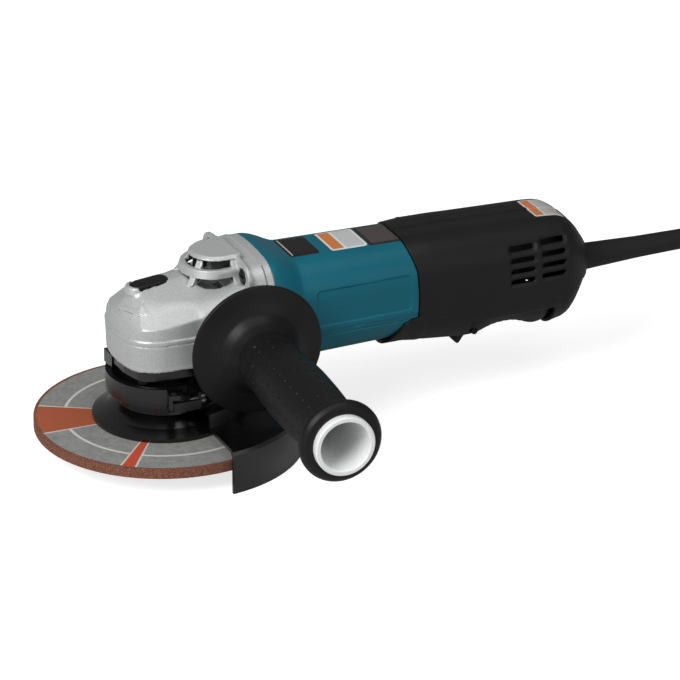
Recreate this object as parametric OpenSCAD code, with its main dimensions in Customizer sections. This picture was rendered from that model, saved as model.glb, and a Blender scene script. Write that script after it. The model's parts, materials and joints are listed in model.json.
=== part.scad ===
// Corded angle grinder with a paddle switch, for a 150 mm depressed-centre wheel.
// Origin: spindle axis at the wheel's lower working face. +X runs from the gear head
// to the cord, +Z points up along the spindle, and the side handle is on -Y.

/* [Grinding wheel] */
// Diameter of the grinding wheel
wheel_d = 150; // [130:1:154]
// Thickness of the wheel
wheel_t = 6; // [4:0.5:7]
// Height that the wheel's centre is raised by
wheel_rise = 4.5; // [3.5:0.5:6]
// Diameter of the wheel's flat raised centre
wheel_centre_d = 47; // [44:1:52]
// Diameter of the wheel's bore
wheel_bore_d = 22.2; // [22:0.1:25]

/* [Flange and lock nut] */
// Diameter of the backing flange's rim
flange_d = 83; // [74:1:90]
// Height of the backing flange above its seat on the wheel
flange_h = 5.5; // [4:0.5:7]
// Diameter of the backing flange's neck
flange_neck_d = 54; // [50:1:56]
// Diameter of the lock nut
nut_d = 40; // [34:1:42]
// Diameter of the pin spanner's holes in the lock nut
nut_hole_d = 5; // [3:0.5:6]

/* [Guard] */
// Clearance between the wheel's rim and the guard's skirt
guard_clearance = 3; // [2.5:0.5:8]
// Height of the guard's skirt, from its rim to the top plate
guard_h = 26.4; // [22:0.2:30]
// Distance from the guard's rim down from the wheel's lower face
guard_drop = 12.4; // [6:0.2:16]
// Thickness of the guard's sheet
guard_t = 2; // [1.5:0.1:2.5]
// Distance from the spindle axis to the guard's straight edges
guard_edge_x = 9; // [4:0.5:14]
// Width of the clamp band
band_w = 11.4; // [9:0.2:12]
// Thickness of the clamp band
band_t = 2; // [1.5:0.1:2.5]
// Length of the guard lever's arm
lever_l = 14; // [11:0.5:15]

/* [Gear head] */
// Height of the bearing box's neck, from its lower end to the gear housing
neck_h = 28.6; // [28:0.2:34]
// Diameter of the neck below the clamp band
neck_d = 55; // [52:1:56]
// Diameter of the neck's seat for the clamp band
band_seat_d = 63; // [60:0.5:64]
// Length of the gear housing in front of the spindle axis
head_front = 31; // [31:0.5:36]
// Half of the gear housing's width at the front
head_half_w = 30.4; // [30:0.2:33]
// Height from the bearing box's joint to the motor axis
axis_rise = 18.6; // [18:0.2:20]
// Height of the gear housing's upright wall
head_wall_h = 18.6; // [17:0.2:21]
// Height from the bearing box's joint to the head's top at its front
head_top_h = 42; // [41:0.2:45]
// Length of the shaft lock button
lock_button_l = 23; // [20:0.5:25]
// Width of the shaft lock button
lock_button_w = 13; // [11:0.5:14]
// Diameter of the shaft lock pin
lock_pin_d = 5.6; // [5:0.1:6]
// Travel of the shaft lock button
lock_travel = 5; // [4:0.5:5.5]

/* [Spindle and gears] */
// Diameter of the spindle's thread
thread_d = 15.88; // [14:0.01:16]
// Diameter of the spindle in its lower bearing
spindle_d = 17; // [16:0.1:17.5]
// Diameter of the spindle in the gear
gear_seat_d = 14; // [13:0.1:14.5]
// Diameter of the spindle's top journal
journal_d = 8; // [7:0.1:9]
// Teeth of the bevel gear
gear_teeth = 32; // [32:4:32]
// Teeth of the pinion
pinion_teeth = 9; // [9:1:9]
// Pitch radius of the bevel gear at its outer end
gear_r = 26; // [25:0.1:26.5]
// Width of the teeth's face
tooth_face = 8; // [6:0.5:8]

/* [Motor] */
// Half of the fan housing's width
fan_half = 34.6; // [34.2:0.1:37]
// Half of the fan housing's height
fan_rise = 36.8; // [36.4:0.1:39]
// Half of the motor barrel's width
barrel_half = 31; // [30.5:0.1:33]
// Distance from the spindle axis to the front of the motor housing
motor_x0 = 54.9; // [54.4:0.1:56]
// Length of the motor housing's outside
motor_l = 89.1; // [88:0.1:92]
// Draft of the motor barrel, over its length
barrel_draft = 1; // [0:0.1:1.5]
// Thickness of the plastic walls
wall = 2.6; // [2:0.1:3]
// Diameter of the fan
fan_d = 60; // [52:1:60]
// Diameter of the armature core
core_d = 41; // [38:0.5:43]
// Diameter of the armature shaft
shaft_d = 10; // [9:0.1:10.5]
// Diameter of the commutator
commutator_d = 26; // [24:0.5:28]

/* [Rear housing] */
// Length of the rear housing
rear_l = 120; // [118:0.5:124]
// Half of the rear housing's width
rear_half = 32; // [31.5:0.1:34]
// Height of the rear housing's top above the motor axis
rear_top = 31.8; // [31:0.1:33]
// Depth of the rear housing's underside below the motor axis
rear_bottom = 39; // [38:0.5:41]
// Width of a cooling slot
vent_w = 16.3; // [14:0.1:17]
// Height of a cooling slot
vent_h = 3.3; // [2.8:0.1:4]

/* [Paddle switch] */
// Distance from the paddle's hinge pin to the rear housing's end
paddle_back = 80; // [79:0.5:81]
// Length of the paddle behind its hinge pin
paddle_l = 48; // [46:0.5:48.5]
// Diameter of the paddle's hinge pin
paddle_pin_d = 4; // [3:0.1:4.5]
// Width of the lock-off lever
lock_off_w = 12; // [10:0.5:13]

/* [Side handle] */
// Distance from the spindle axis to the handle's axis
handle_x = 38; // [37:0.5:39]
// Angle that the handle leans forward by
handle_tilt = 2.7; // [0:0.1:5]
// Thread diameter of the handle's stud
stud_d = 10; // [8:0.1:10.5]
// Depth of the threaded hole
stud_depth = 20; // [16:0.5:21]
// Diameter of the handle's flange
handle_flange_d = 77.6; // [70:0.2:80]
// Length of the handle from the gear housing's boss to its end
handle_l = 143; // [120:1:150]
// Diameter of the grip
grip_d = 37.6; // [35:0.2:40]
// Diameter of the handle's end collar
grip_end_d = 47.6; // [44:0.2:50]
// Diameter of the handle's open bore
handle_bore_d = 25; // [20:0.5:26]

/* [Cord] */
// Diameter of the cord
cord_d = 8; // [7:0.1:8.5]
// Length of the cord guard outside the housing
cord_guard_l = 88; // [60:1:95]
// Diameter of the cord guard at the housing
cord_guard_d = 15.8; // [15:0.1:18]
// Diameter of the cord guard at its free end
cord_guard_tip_d = 11.2; // [10.5:0.1:12.2]
// Diameter of the cord coil at the middle of its turns
coil_d = 92; // [80:1:100]
// Turns in the height of the cord coil
coil_layers = 4; // [2:1:5]

/* [Hidden] */
$fn = 48;

eps = 0.01;
fit = 0.05;          // radial clearance of a running or screwed fit
gap = 0.3;           // clearance between neighbours
tiny = 0.02;         // thickness of a slab that a hull runs through

guard_d = wheel_d + 2 * (guard_clearance + guard_t);

// Heights along the spindle
seat_z = wheel_t + wheel_rise;
flange_top_z = seat_z + flange_h;
neck_z = flange_top_z + 0.8;
joint_z = neck_z + neck_h;
motor_z = joint_z + axis_rise;
plate_t = 5;
plate_z = joint_z - plate_t;
band_z = plate_z - 5 - band_w;
ridge_z = joint_z + head_wall_h;
head_top_z = joint_z + head_top_h;
floor_z = -guard_drop;
guard_top_z = floor_z + guard_h;

// Spindle bearings and gear
low_brg_od = 40;
low_brg_w = 12;
low_brg_z = neck_z + 6.5;
box_screw_r = 29.3;
gear_ratio = gear_teeth / pinion_teeth;
gear_slope = atan(1 / gear_ratio);
gear_top_z = motor_z - (gear_r - tooth_face) / gear_ratio;
gear_web_z = gear_top_z - 3;
gear_low_z = gear_web_z - 8;
tooth_root = 1.2;
tooth_tip = 0.7;
tooth_w = 1.7;
top_brg_od = 14;
top_brg_w = 8;
top_brg_z = motor_z + 4.4;
spindle_top_z = top_brg_z + top_brg_w - 0.4;
lock_x = 12.2;
button_x = -9;
button_h = 3.6;
button_z = head_top_z + 1.9;
recess_z = button_z - button_h - lock_travel - 2.5;
lock_pin_low_z = gear_web_z + 0.8;

// Motor along X
front_brg_od = 30;
front_brg_w = 9;
front_brg_x = motor_x0 - 22;
rear_brg_od = 22;
rear_brg_w = 7;
rear_brg_x = motor_x0 + motor_l + 3;
fan_x = motor_x0 - 6;
fan_w = 11;
core_x = motor_x0 + 18.3;
core_l = 46;
winding_l = 8;
commutator_x = core_x + core_l + winding_l + 2;
commutator_l = 11;
stator_half = barrel_half - wall - barrel_draft - 0.1;
motor_x1 = motor_x0 + motor_l;
fan_case_l = 16;
screw_y = fan_half - 10.6;
screw_z = fan_rise - 7.8;
fan_corner = 15;
shaft_tail_d = 8;
pinion_bore_d = 6;
barrel_corner = 22;

// Rear housing
rear_x1 = motor_x1 + rear_l;
paddle_x = rear_x1 - paddle_back;
rear_top_z = motor_z + rear_top;
rear_low_z = motor_z - rear_bottom;
paddle_z = rear_low_z + 8;
paddle_x0 = paddle_x - 4;
paddle_x1 = paddle_x + paddle_l;
paddle_top_z = rear_low_z + 17;
switch_x = paddle_x + 8;
switch_low_z = paddle_top_z + 9;
plunger_x = switch_x + 12;
lock_off_x = paddle_x + 12;
lock_off_z = rear_low_z + 7;
vent_x = motor_x1 + 59.5;
vent_pitch_x = 20;
vent_pitch_z = 6.45;
vent_low_z = motor_z - 2;

// Side handle along -Y
handle_z = motor_z - 6;
boss_y = head_half_w + 10.6;
grip_y0 = boss_y + 5;

// Cord
cord_r = cord_d / 2;
guard_tip_x = rear_x1 + cord_guard_l;
cord_exit_z = motor_z - 7.5;
cord_floor_z = floor_z + cord_r;
// Points of the cord from its guard down to the coil, chosen by hand
CORD_PATH = [[352, 0, 56.5], [362, 0, 56.2], [372, 0, 54.2], [381, 0, 50.2], [389, 0, 44.2],
    [396, 0, 36.4], [402, 0, 27.6], [408, 0, 18.8], [415, 0, 10.2], [423, 0, 2.6],
    [432, 0, -3.2], [442, 0, -7.0], [450, 0, -8.4], [458, 0, -8.4]];
coil_x = 486.5;
coil_y = 50;
coil_top_z = floor_z + coil_layers * cord_d;
plug_l = 34;
plug_w = 24;
plug_h = 17;

// Rounded slab across X, from which hulls are run
module section(x, half_w, z_top, z_low, r) {
    for (side = [-1, 1])
        for (z = [z_low + r, z_top - r])
            translate([x, side * (half_w - r), z])
                rotate([0, 90, 0])
                    cylinder(r = r, h = tiny, $fn = 40);
}

// Box along +X with rounded corners
module round_box(x, l, half_w, z_top, z_low, r) {
    translate([x, -half_w, z_low + r])
        cube([l, 2 * half_w, z_top - z_low - 2 * r]);
    translate([x, -half_w + r, z_low])
        cube([l, 2 * half_w - 2 * r, z_top - z_low]);
    for (side = [-1, 1])
        for (z = [z_low + r, z_top - r])
            translate([x, side * (half_w - r), z])
                rod_x(r, l);
}

// Place on a side handle's boss, with +Z pointing outward; side is 1 for +Y and -1 for -Y
module handle_place(side) {
    translate([handle_x, side * boss_y, handle_z])
        rotate([0, 0, side * handle_tilt])
            rotate([-side * 90, 0, 0])
                children();
}

// Ring of rectangular section
module ring(r_out, r_in, h) {
    difference() {
        cylinder(r = r_out, h = h);
        translate([0, 0, -1])
            cylinder(r = r_in, h = h + 2);
    }
}

// Cylinder along +X
module rod_x(r, l) {
    rotate([0, 90, 0])
        cylinder(r = r, h = l);
}

// Cylinder along -Y
module rod_y(r, l) {
    rotate([90, 0, 0])
        cylinder(r = r, h = l);
}

// Ball bearing on the Z axis, with its lower face at 0
module bearing(od, id, w, balls) {
    pitch = (od + id) / 4;
    ball = (od - id) / 8;
    race = (od - id) / 2;
    difference() {
        ring(od / 2, od / 2 - race * 0.3, w);
        translate([0, 0, w / 2])
            rotate_extrude()
                translate([pitch, 0])
                    circle(r = ball + fit);
    }
    difference() {
        ring(id / 2 + race * 0.3, id / 2 + 0.02, w);
        translate([0, 0, w / 2])
            rotate_extrude()
                translate([pitch, 0])
                    circle(r = ball + fit);
    }
    for (i = [0 : balls - 1])
        rotate([0, 0, i * 360 / balls])
            translate([pitch, 0, w / 2])
                sphere(r = ball);
}

// Cross-recessed screw along -Z: head above 0, shank below
module screw(head_r, head_h, shank_r, shank_l) {
    difference() {
        union() {
            cylinder(r = head_r, h = head_h);
            translate([0, 0, -shank_l])
                cylinder(r = shank_r, h = shank_l + eps);
        }
        for (a = [0, 90])
            rotate([0, 0, a])
                translate([-head_r * 0.6, -head_r * 0.13, head_h * 0.4])
                    cube([head_r * 1.2, head_r * 0.26, head_h]);
    }
}

// Tube swept along points that lie in one smooth path
function unit(v) = v / norm(v);
function path_dir(p, i) = unit(p[min(i + 1, len(p) - 1)] - p[max(i - 1, 0)]);
function side_dir(d) = abs(d[2]) > 0.9 ? unit(cross(d, [0, 1, 0])) : unit(cross(d, [0, 0, 1]));
module sweep(p, r, sides) {
    n = len(p);
    points = [for (i = [0 : n - 1]) let (d = path_dir(p, i), s = side_dir(d), u = cross(s, d))
        for (k = [0 : sides - 1]) p[i] + r * (cos(k * 360 / sides) * s + sin(k * 360 / sides) * u)];
    walls = [for (i = [0 : n - 2]) for (k = [0 : sides - 1])
        [i * sides + k, i * sides + (k + 1) % sides,
         (i + 1) * sides + (k + 1) % sides, (i + 1) * sides + k]];
    caps = [[for (k = [sides - 1 : -1 : 0]) k], [for (k = [0 : sides - 1]) (n - 1) * sides + k]];
    polyhedron(points, concat(walls, caps), 6);
}

// Coil spring on the Z axis between two heights
module spring(r, wire_r, z0, z1, turns) {
    steps = turns * 10;
    sweep([for (i = [0 : steps])
        [r * cos(i * 36), r * sin(i * 36), z0 + wire_r + (z1 - z0 - 2 * wire_r) * i / steps]],
        wire_r, 6);
}

// ---------------------------------------------------------------- spindle group

module grinding_wheel() {
    bore = wheel_bore_d / 2;
    top_r = wheel_centre_d / 2;
    slope = 6;
    color("sienna")
        rotate_extrude($fn = 96)
            polygon([[bore, wheel_rise], [top_r - 2, wheel_rise], [top_r - 2 + slope, 0],
                [wheel_d / 2, 0], [wheel_d / 2, wheel_t], [top_r + slope, wheel_t],
                [top_r, seat_z], [bore, seat_z]]);
}

module backing_flange() {
    rim = flange_d / 2;
    neck = flange_neck_d / 2;
    shaft = thread_d / 2 + fit;
    pilot = wheel_bore_d / 2 - fit;
    color("dimgray")
        difference() {
            rotate_extrude($fn = 96)
                polygon([[shaft, wheel_rise + 0.5], [pilot, wheel_rise + 0.5], [pilot, seat_z],
                    [wheel_centre_d / 2 - 1, seat_z], [wheel_centre_d / 2 + 2, seat_z + 1],
                    [rim - 7, wheel_t + 1.2], [rim - 4, wheel_t + gap], [rim, wheel_t + gap],
                    [rim, wheel_t + 2.4], [rim - 2.5, wheel_t + 3.6], [rim - 7, wheel_t + 5.6],
                    [neck + 3, flange_top_z - 1.6], [neck, flange_top_z], [shaft, flange_top_z]]);
            for (a = [0, 180])
                rotate([0, 0, a])
                    translate([-4, neck - 6, flange_top_z - 1.5])
                        cube([8, 12, 4]);
        }
}

module lock_nut() {
    color("silver")
        difference() {
            union() {
                translate([0, 0, 0.4])
                    cylinder(r = nut_d / 2, h = wheel_rise - 0.4);
                cylinder(r = wheel_bore_d / 2 - fit, h = wheel_rise + 0.4);
            }
            translate([0, 0, -1])
                cylinder(r = thread_d / 2 + fit, h = seat_z);
            for (a = [0 : 90 : 270])
                rotate([0, 0, a])
                    translate([nut_d / 2 - 5, 0, -1])
                        cylinder(r = nut_hole_d / 2, h = wheel_rise + 3);
        }
}

module spindle() {
    color("lightgray")
        rotate_extrude()
            polygon([[0, 0.3], [thread_d / 2 - 1, 0.3], [thread_d / 2, 1.3],
                [thread_d / 2, flange_top_z], [spindle_d / 2 + 2, flange_top_z],
                [spindle_d / 2 + 2, low_brg_z - fit], [spindle_d / 2, low_brg_z - fit],
                [spindle_d / 2, gear_low_z - fit], [gear_seat_d / 2, gear_low_z - fit],
                [gear_seat_d / 2, gear_web_z + 2.5], [journal_d / 2, gear_web_z + 2.5],
                [journal_d / 2, spindle_top_z], [0, spindle_top_z]]);
}

module bevel_gear() {
    root_z = motor_z - tooth_root;
    inner = gear_r - tooth_face;
    color("darkgray")
        difference() {
            union() {
                rotate_extrude()
                    polygon([[gear_seat_d / 2 + 0.02, gear_low_z], [13, gear_low_z],
                        [gear_r, root_z - gear_r / gear_ratio - 3],
                        [gear_r, root_z - gear_r / gear_ratio],
                        [inner, root_z - inner / gear_ratio], [inner - 1.5, gear_web_z],
                        [gear_seat_d / 2 + 0.02, gear_web_z]]);
                for (i = [0 : gear_teeth - 1])
                    rotate([0, 0, (i + 0.5) * 360 / gear_teeth])
                        translate([inner + 0.3, -tooth_w / 2, root_z - inner / gear_ratio - 0.6])
                            rotate([0, gear_slope, 0])
                                cube([tooth_face - 0.2, tooth_w, tooth_root + tooth_tip + 0.5]);
            }
            for (a = [0 : 90 : 270])
                rotate([0, 0, a])
                    translate([lock_x, 0, gear_low_z - 1])
                        cylinder(r = lock_pin_d / 2 + gap, h = 20);
            translate([gear_seat_d / 2 - 1.5, -1.5 - fit, gear_low_z - 1])
                cube([3, 3 + 2 * fit, 20]);
        }
}

module gear_key() {
    color("dimgray")
        translate([gear_seat_d / 2 + 0.03, -1.5, gear_low_z])
            cube([1.4, 3, gear_web_z - gear_low_z]);
}

module gear_clip() {
    color("dimgray")
        difference() {
            translate([0, 0, gear_web_z])
                ring(gear_seat_d / 2 + 1.8, gear_seat_d / 2 + 0.02, 1.2);
            translate([-12, -2, gear_web_z - 1])
                cube([10, 4, 4]);
        }
}

// ---------------------------------------------------------------- guard group

band_r = band_seat_d / 2 + 0.05;
band_out = band_r + band_t;
clamp_a = -92;       // direction of the clamp band's gap
pivot_a = -104;      // direction of the guard lever's pin
pivot_r = band_out + 5.6;
lever_low_z = band_z + 2;
lever_h = 5.6;
barrel_r = 3.4;
lever_pin_r = 1.5;

module guard_shell() {
    r_out = guard_d / 2;
    step_r = flange_d / 2 + 4.5;
    step_z = flange_top_z + 4;
    lip_z = band_z + 2.5;
    t = guard_t;
    color("black")
        intersection() {
            rotate_extrude($fn = 96)
                polygon([[r_out - t, floor_z], [r_out, floor_z], [r_out, guard_top_z - 3],
                    [r_out - 0.9, guard_top_z - 0.9], [r_out - 3, guard_top_z],
                    [step_r + 1, guard_top_z], [step_r, step_z + t],
                    [band_out + t + 1, step_z + t], [band_out + t, step_z + t + 1],
                    [band_out + t, lip_z], [band_out, lip_z],
                    [band_out, step_z], [step_r - t, step_z], [step_r - t + 1, guard_top_z - t],
                    [r_out - t - 2, guard_top_z - t], [r_out - t, guard_top_z - t - 2]]);
            translate([guard_edge_x, -guard_d, floor_z - 1])
                cube([guard_d, 2 * guard_d, guard_h + 60]);
        }
}

module guard_band() {
    ear_l = pivot_r + 2.6 - band_r;
    color("dimgray")
        difference() {
            union() {
                translate([0, 0, band_z])
                    ring(band_out, band_r, band_w);
                for (z = [band_z, lever_low_z + lever_h + gap])
                    rotate([0, 0, pivot_a])
                        translate([band_r + 0.5, -3.2, z])
                            cube([ear_l, 6.4, z == band_z ? 2 - gap : band_z + band_w - z]);
                rotate([0, 0, clamp_a + 10])
                    translate([band_r + 0.5, -1, band_z + 1])
                        cube([8, 2, band_w - 2]);
            }
            rotate([0, 0, clamp_a])
                translate([band_r - 5, -3, band_z - 1])
                    cube([10, 6, band_w + 2]);
            rotate([0, 0, pivot_a])
                translate([pivot_r, 0, band_z - 1])
                    cylinder(r = lever_pin_r + 0.02, h = band_w + 2);
            rotate([0, 0, clamp_a + 10])
                translate([pivot_r - 1.6, 3, lever_low_z + lever_h / 2])
                    rod_y(2.1, 6);
        }
}

module guard_adjusting_screw() {
    color("silver")
        rotate([0, 0, clamp_a + 10])
            translate([pivot_r - 1.6, 0, lever_low_z + lever_h / 2])
                rotate([90, 0, 0])
                    rotate([0, 0, 45])
                        translate([0, 0, -1])
                            mirror([0, 0, 1])
                                screw(3, 2.6, 2, 6.2);
}

module guard_lever_pin() {
    color("silver")
        rotate([0, 0, pivot_a])
            translate([pivot_r, 0, band_z])
                cylinder(r = lever_pin_r, h = band_w);
}

module guard_lever() {
    color("black")
        difference() {
            rotate([0, 0, pivot_a])
                translate([pivot_r, 0, lever_low_z])
                    rotate([0, 0, -pivot_a])
                        union() {
                            cylinder(r = barrel_r, h = lever_h);
                            translate([0, -barrel_r - 2, 0])
                                cube([lever_l, 2.2, lever_h]);
                            translate([-2, -barrel_r - 2, 0])
                                cube([4, barrel_r + 2, lever_h]);
                        }
            rotate([0, 0, pivot_a])
                translate([pivot_r, 0, lever_low_z - 1])
                    cylinder(r = lever_pin_r + fit, h = lever_h + 2);
        }
}

// ---------------------------------------------------------------- gear head

// Outline of the gear head seen from above, drawn in by an inset
module head_outline(inset) {
    hull()
        for (side = [-1, 1]) {
            translate([-head_front + 15, side * (head_half_w - 12)])
                circle(r = 12 - inset, $fn = 40);
            translate([-head_front + 14.3, side * 8])
                circle(r = 14 - inset, $fn = 40);
            translate([28.5, side * (head_half_w + 3.5 - 8)])
                circle(r = 8 - inset, $fn = 32);
        }
}

module bearing_box() {
    top_r = low_brg_od / 2 + 4.5;
    color("black")
        difference() {
            union() {
                translate([0, 0, neck_z])
                    cylinder(r = neck_d / 2, h = band_z - neck_z);
                translate([0, 0, band_z - 0.6])
                    cylinder(r = band_seat_d / 2, h = band_w + 1.2);
                translate([0, 0, neck_z + 1])
                    cylinder(r = top_r, h = joint_z - neck_z - 1);
                translate([0, 0, plate_z])
                    linear_extrude(plate_t)
                        head_outline(2);
                translate([-head_front + 1.5, 6, band_z + band_w + 1])
                    cube([3, 12, joint_z - band_z - band_w - 2]);
                for (a = [-78, -66, 66, 78])
                    rotate([0, 0, a])
                        translate([top_r - 1, -1.2, band_z + band_w])
                            cube([band_seat_d / 2 - top_r, 2.4, plate_z - band_z - band_w + 1]);
            }
            translate([0, 0, neck_z - 1])
                cylinder(r = spindle_d / 2 + 3.5, h = neck_h);
            translate([0, 0, low_brg_z])
                cylinder(r = low_brg_od / 2 + 0.02, h = neck_h);
            for (a = [45 : 90 : 315])
                rotate([0, 0, a])
                    translate([box_screw_r, 0, plate_z - 1])
                        cylinder(r = 2.1, h = plate_t + 2);
        }
}

module bearing_box_screws() {
    color("silver")
        for (a = [45 : 90 : 315])
            rotate([0, 0, a])
                translate([box_screw_r, 0, plate_z])
                    rotate([180, 0, 0])
                        screw(3.6, 2.8, 2.05, plate_t + 9);
}

module spindle_bearing_lower() {
    color("lightsteelblue")
        translate([0, 0, low_brg_z])
            bearing(low_brg_od, spindle_d, low_brg_w, 9);
}

module spindle_bearing_upper() {
    color("lightsteelblue")
        translate([0, 0, top_brg_z])
            ring(top_brg_od / 2, journal_d / 2 + 0.03, top_brg_w);
}

// Cowl over the exhaust slots, in two tiers
module cowl() {
    x = motor_x0 - 24;
    low_r = 20.5;
    cap_r = 14.5;
    z0 = head_top_z + 1;
    difference() {
        union() {
            translate([x, 0, z0 - 6])
                cylinder(r = low_r - 1.5, h = 10.1);
            translate([x, 0, z0 + 4])
                cylinder(r1 = low_r, r2 = low_r - 0.8, h = 3.2);
            translate([x, 0, z0 + 7.2 - eps])
                cylinder(r1 = low_r - 0.8, r2 = low_r - 2.4, h = 1);
            translate([x + 1.6, 0, z0 + 7])
                cylinder(r = cap_r - 0.8, h = 5);
            translate([x + 1.6, 0, z0 + 11.4])
                cylinder(r = cap_r, h = 1.8);
            translate([x + 1.6, 0, z0 + 13.2 - eps])
                cylinder(r1 = cap_r, r2 = cap_r - 2.2, h = 1.2);
        }
        translate([x, 0, z0 - 7])
            cylinder(r = low_r - 3, h = 13.2);
        translate([x + 1.6, 0, z0 - 7])
            cylinder(r = cap_r - 2.8, h = 19.4);
        for (z = [z0 + 0.4, z0 + 8.2])
            difference() {
                translate([x, 0, z])
                    cylinder(r = low_r + 1, h = z > z0 + 5 ? 3.2 : 3.6);
                for (a = [155, 205])
                    translate([x, 0, z - 1])
                        rotate([0, 0, a])
                            translate([0, -1.7, 0])
                                cube([40, 3.4, 8]);
                translate([x + 5.5, -40, z - 1])
                    cube([40, 80, 10]);
            }
    }
}

module gear_housing() {
    x0 = motor_x0;
    f = fan_half;
    fz = fan_rise;
    z = motor_z;
    color("silver")
        difference() {
            union() {
                // upright wall
                translate([0, 0, joint_z])
                    linear_extrude(head_wall_h)
                        head_outline(0);
                // wall above the bead, sloping faces and crowned top
                hull() {
                    translate([0, 0, ridge_z - 1])
                        linear_extrude(8.3)
                            head_outline(0.8);
                    for (side = [-1, 1]) {
                        translate([4, side * (head_half_w - 7), ridge_z])
                            cylinder(r = 8, h = 11, $fn = 32);
                        translate([-head_front + 21.5, side * 10, ridge_z])
                            cylinder(r = 7, h = head_top_z - ridge_z - 4.6, $fn = 40);
                        translate([x0 - 24, side * 12, ridge_z])
                            cylinder(r = 8, h = head_top_z - ridge_z - 1, $fn = 40);
                    }
                    translate([-head_front + 17, 0, ridge_z])
                        cylinder(r = 4, h = head_top_z - ridge_z, $fn = 32);
                    translate([x0 - 24, 0, ridge_z])
                        cylinder(r = 8, h = head_top_z - ridge_z + 2, $fn = 32);
                }
                // rear of the head, widening down to the motor
                hull() {
                    section(12, head_half_w + 1.6, head_top_z - 6, joint_z, 11);
                    section(x0 - 15, f - 1.6, z + fz - 2.5, z - fz + 2.5, fan_corner);
                }
                // flange plate and collar
                round_box(x0 - 16.5, 3.5, f - 0.4, z + fz + 2.2, z - fz + 1.4, 18);
                round_box(x0 - 12.5, 6, f - 1.2, z + fz - 1, z - fz + 1, fan_corner - 1);
                round_box(x0 - 8, 8, f, z + fz, z - fz, fan_corner);
                // bosses for the side handle
                for (side = [-1, 1])
                    handle_place(side)
                        translate([0, 0, -boss_y + 16])
                            cylinder(r = 10, h = boss_y - 16);
                intersection() {
                    cowl();
                    translate([0, -40, joint_z])
                        cube([x0 - 12, 80, 80]);
                }
                // small boss in front of the lock button
                translate([-head_front + 10.5, 0, head_top_z - 8])
                    cylinder(r1 = 4.5, r2 = 2.5, h = 9);
            }
            // room for the bearing box and the guard's clamp band
            translate([-50, -50, joint_z - 40])
                cube([band_out + 51.2, 100, 40]);
            // gear chamber
            translate([0, 0, joint_z - 1])
                cylinder(r = gear_r + 1.6, h = gear_top_z - joint_z + 4);
            translate([0, 0, joint_z])
                cylinder(r = 17, h = top_brg_z - joint_z);
            translate([0, -9, z - 9])
                cube([front_brg_x + 1, 18, 18]);
            // upper spindle bearing
            translate([0, 0, top_brg_z - 2])
                cylinder(r = top_brg_od / 2 + 0.02, h = top_brg_w + 2.5);
            // shaft lock
            translate([-lock_x, 0, gear_top_z])
                cylinder(r = lock_pin_d / 2 + fit, h = 60);
            button_prism(gap, recess_z, 40);
            // motor shaft bearing and fan chamber
            translate([front_brg_x, 0, z])
                rod_x(front_brg_od / 2 + 0.02, front_brg_w);
            translate([front_brg_x + front_brg_w - eps, 0, z])
                rod_x(9, 12);
            round_box(x0 - 8, 9, f - 3, z + fz - 3, z - fz + 3, fan_corner - 3);
            // way of the exhaust air up to the cowl
            translate([x0 - 27, -13, head_top_z - 7])
                cube([24, 26, 12]);
            // threaded holes of the side handle
            for (side = [-1, 1])
                handle_place(side)
                    translate([0, 0, -stud_depth])
                        cylinder(r = stud_d / 2, h = stud_depth + 1);
            // screws into the motor housing and from the bearing box
            for (y = [-screw_y, screw_y])
                for (dz = [-screw_z, screw_z])
                    translate([x0 - 40, y, z + dz]) {
                        translate([10, 0, 0])
                            rod_x(2.2, 40);
                        rod_x(4.8, 26.5);
                    }
            for (a = [45 : 90 : 315])
                rotate([0, 0, a])
                    translate([box_screw_r, 0, joint_z - 1])
                        cylinder(r = 2.07, h = 12);
        }
}

module gear_housing_screws() {
    color("dimgray")
        for (y = [-screw_y, screw_y])
            for (z = [-screw_z, screw_z])
                translate([motor_x0 - 13.5, y, motor_z + z])
                    rotate([0, -90, 0])
                        screw(4.2, 3, 2.1, 20.5);
}

// Oval of the shaft lock button, drawn out by grow
module button_prism(grow, z, h) {
    r = lock_button_w / 2 + grow;
    half = (lock_button_l - lock_button_w) / 2;
    translate([button_x - half, -r, z])
        cube([2 * half, 2 * r, h]);
    for (side = [-1, 1])
        translate([button_x + side * half, 0, z])
            cylinder(r = r, h = h);
}

module lock_button() {
    color("black")
        button_prism(0, button_z - button_h, button_h);
}

module lock_pin() {
    color("silver")
        translate([-lock_x, 0, lock_pin_low_z])
            cylinder(r = lock_pin_d / 2, h = button_z - button_h - lock_pin_low_z);
}

module lock_spring() {
    color("silver")
        translate([-lock_x, 0, 0])
            spring(4.6, 0.6, recess_z, button_z - button_h, 4);
}

// ---------------------------------------------------------------- motor

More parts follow.
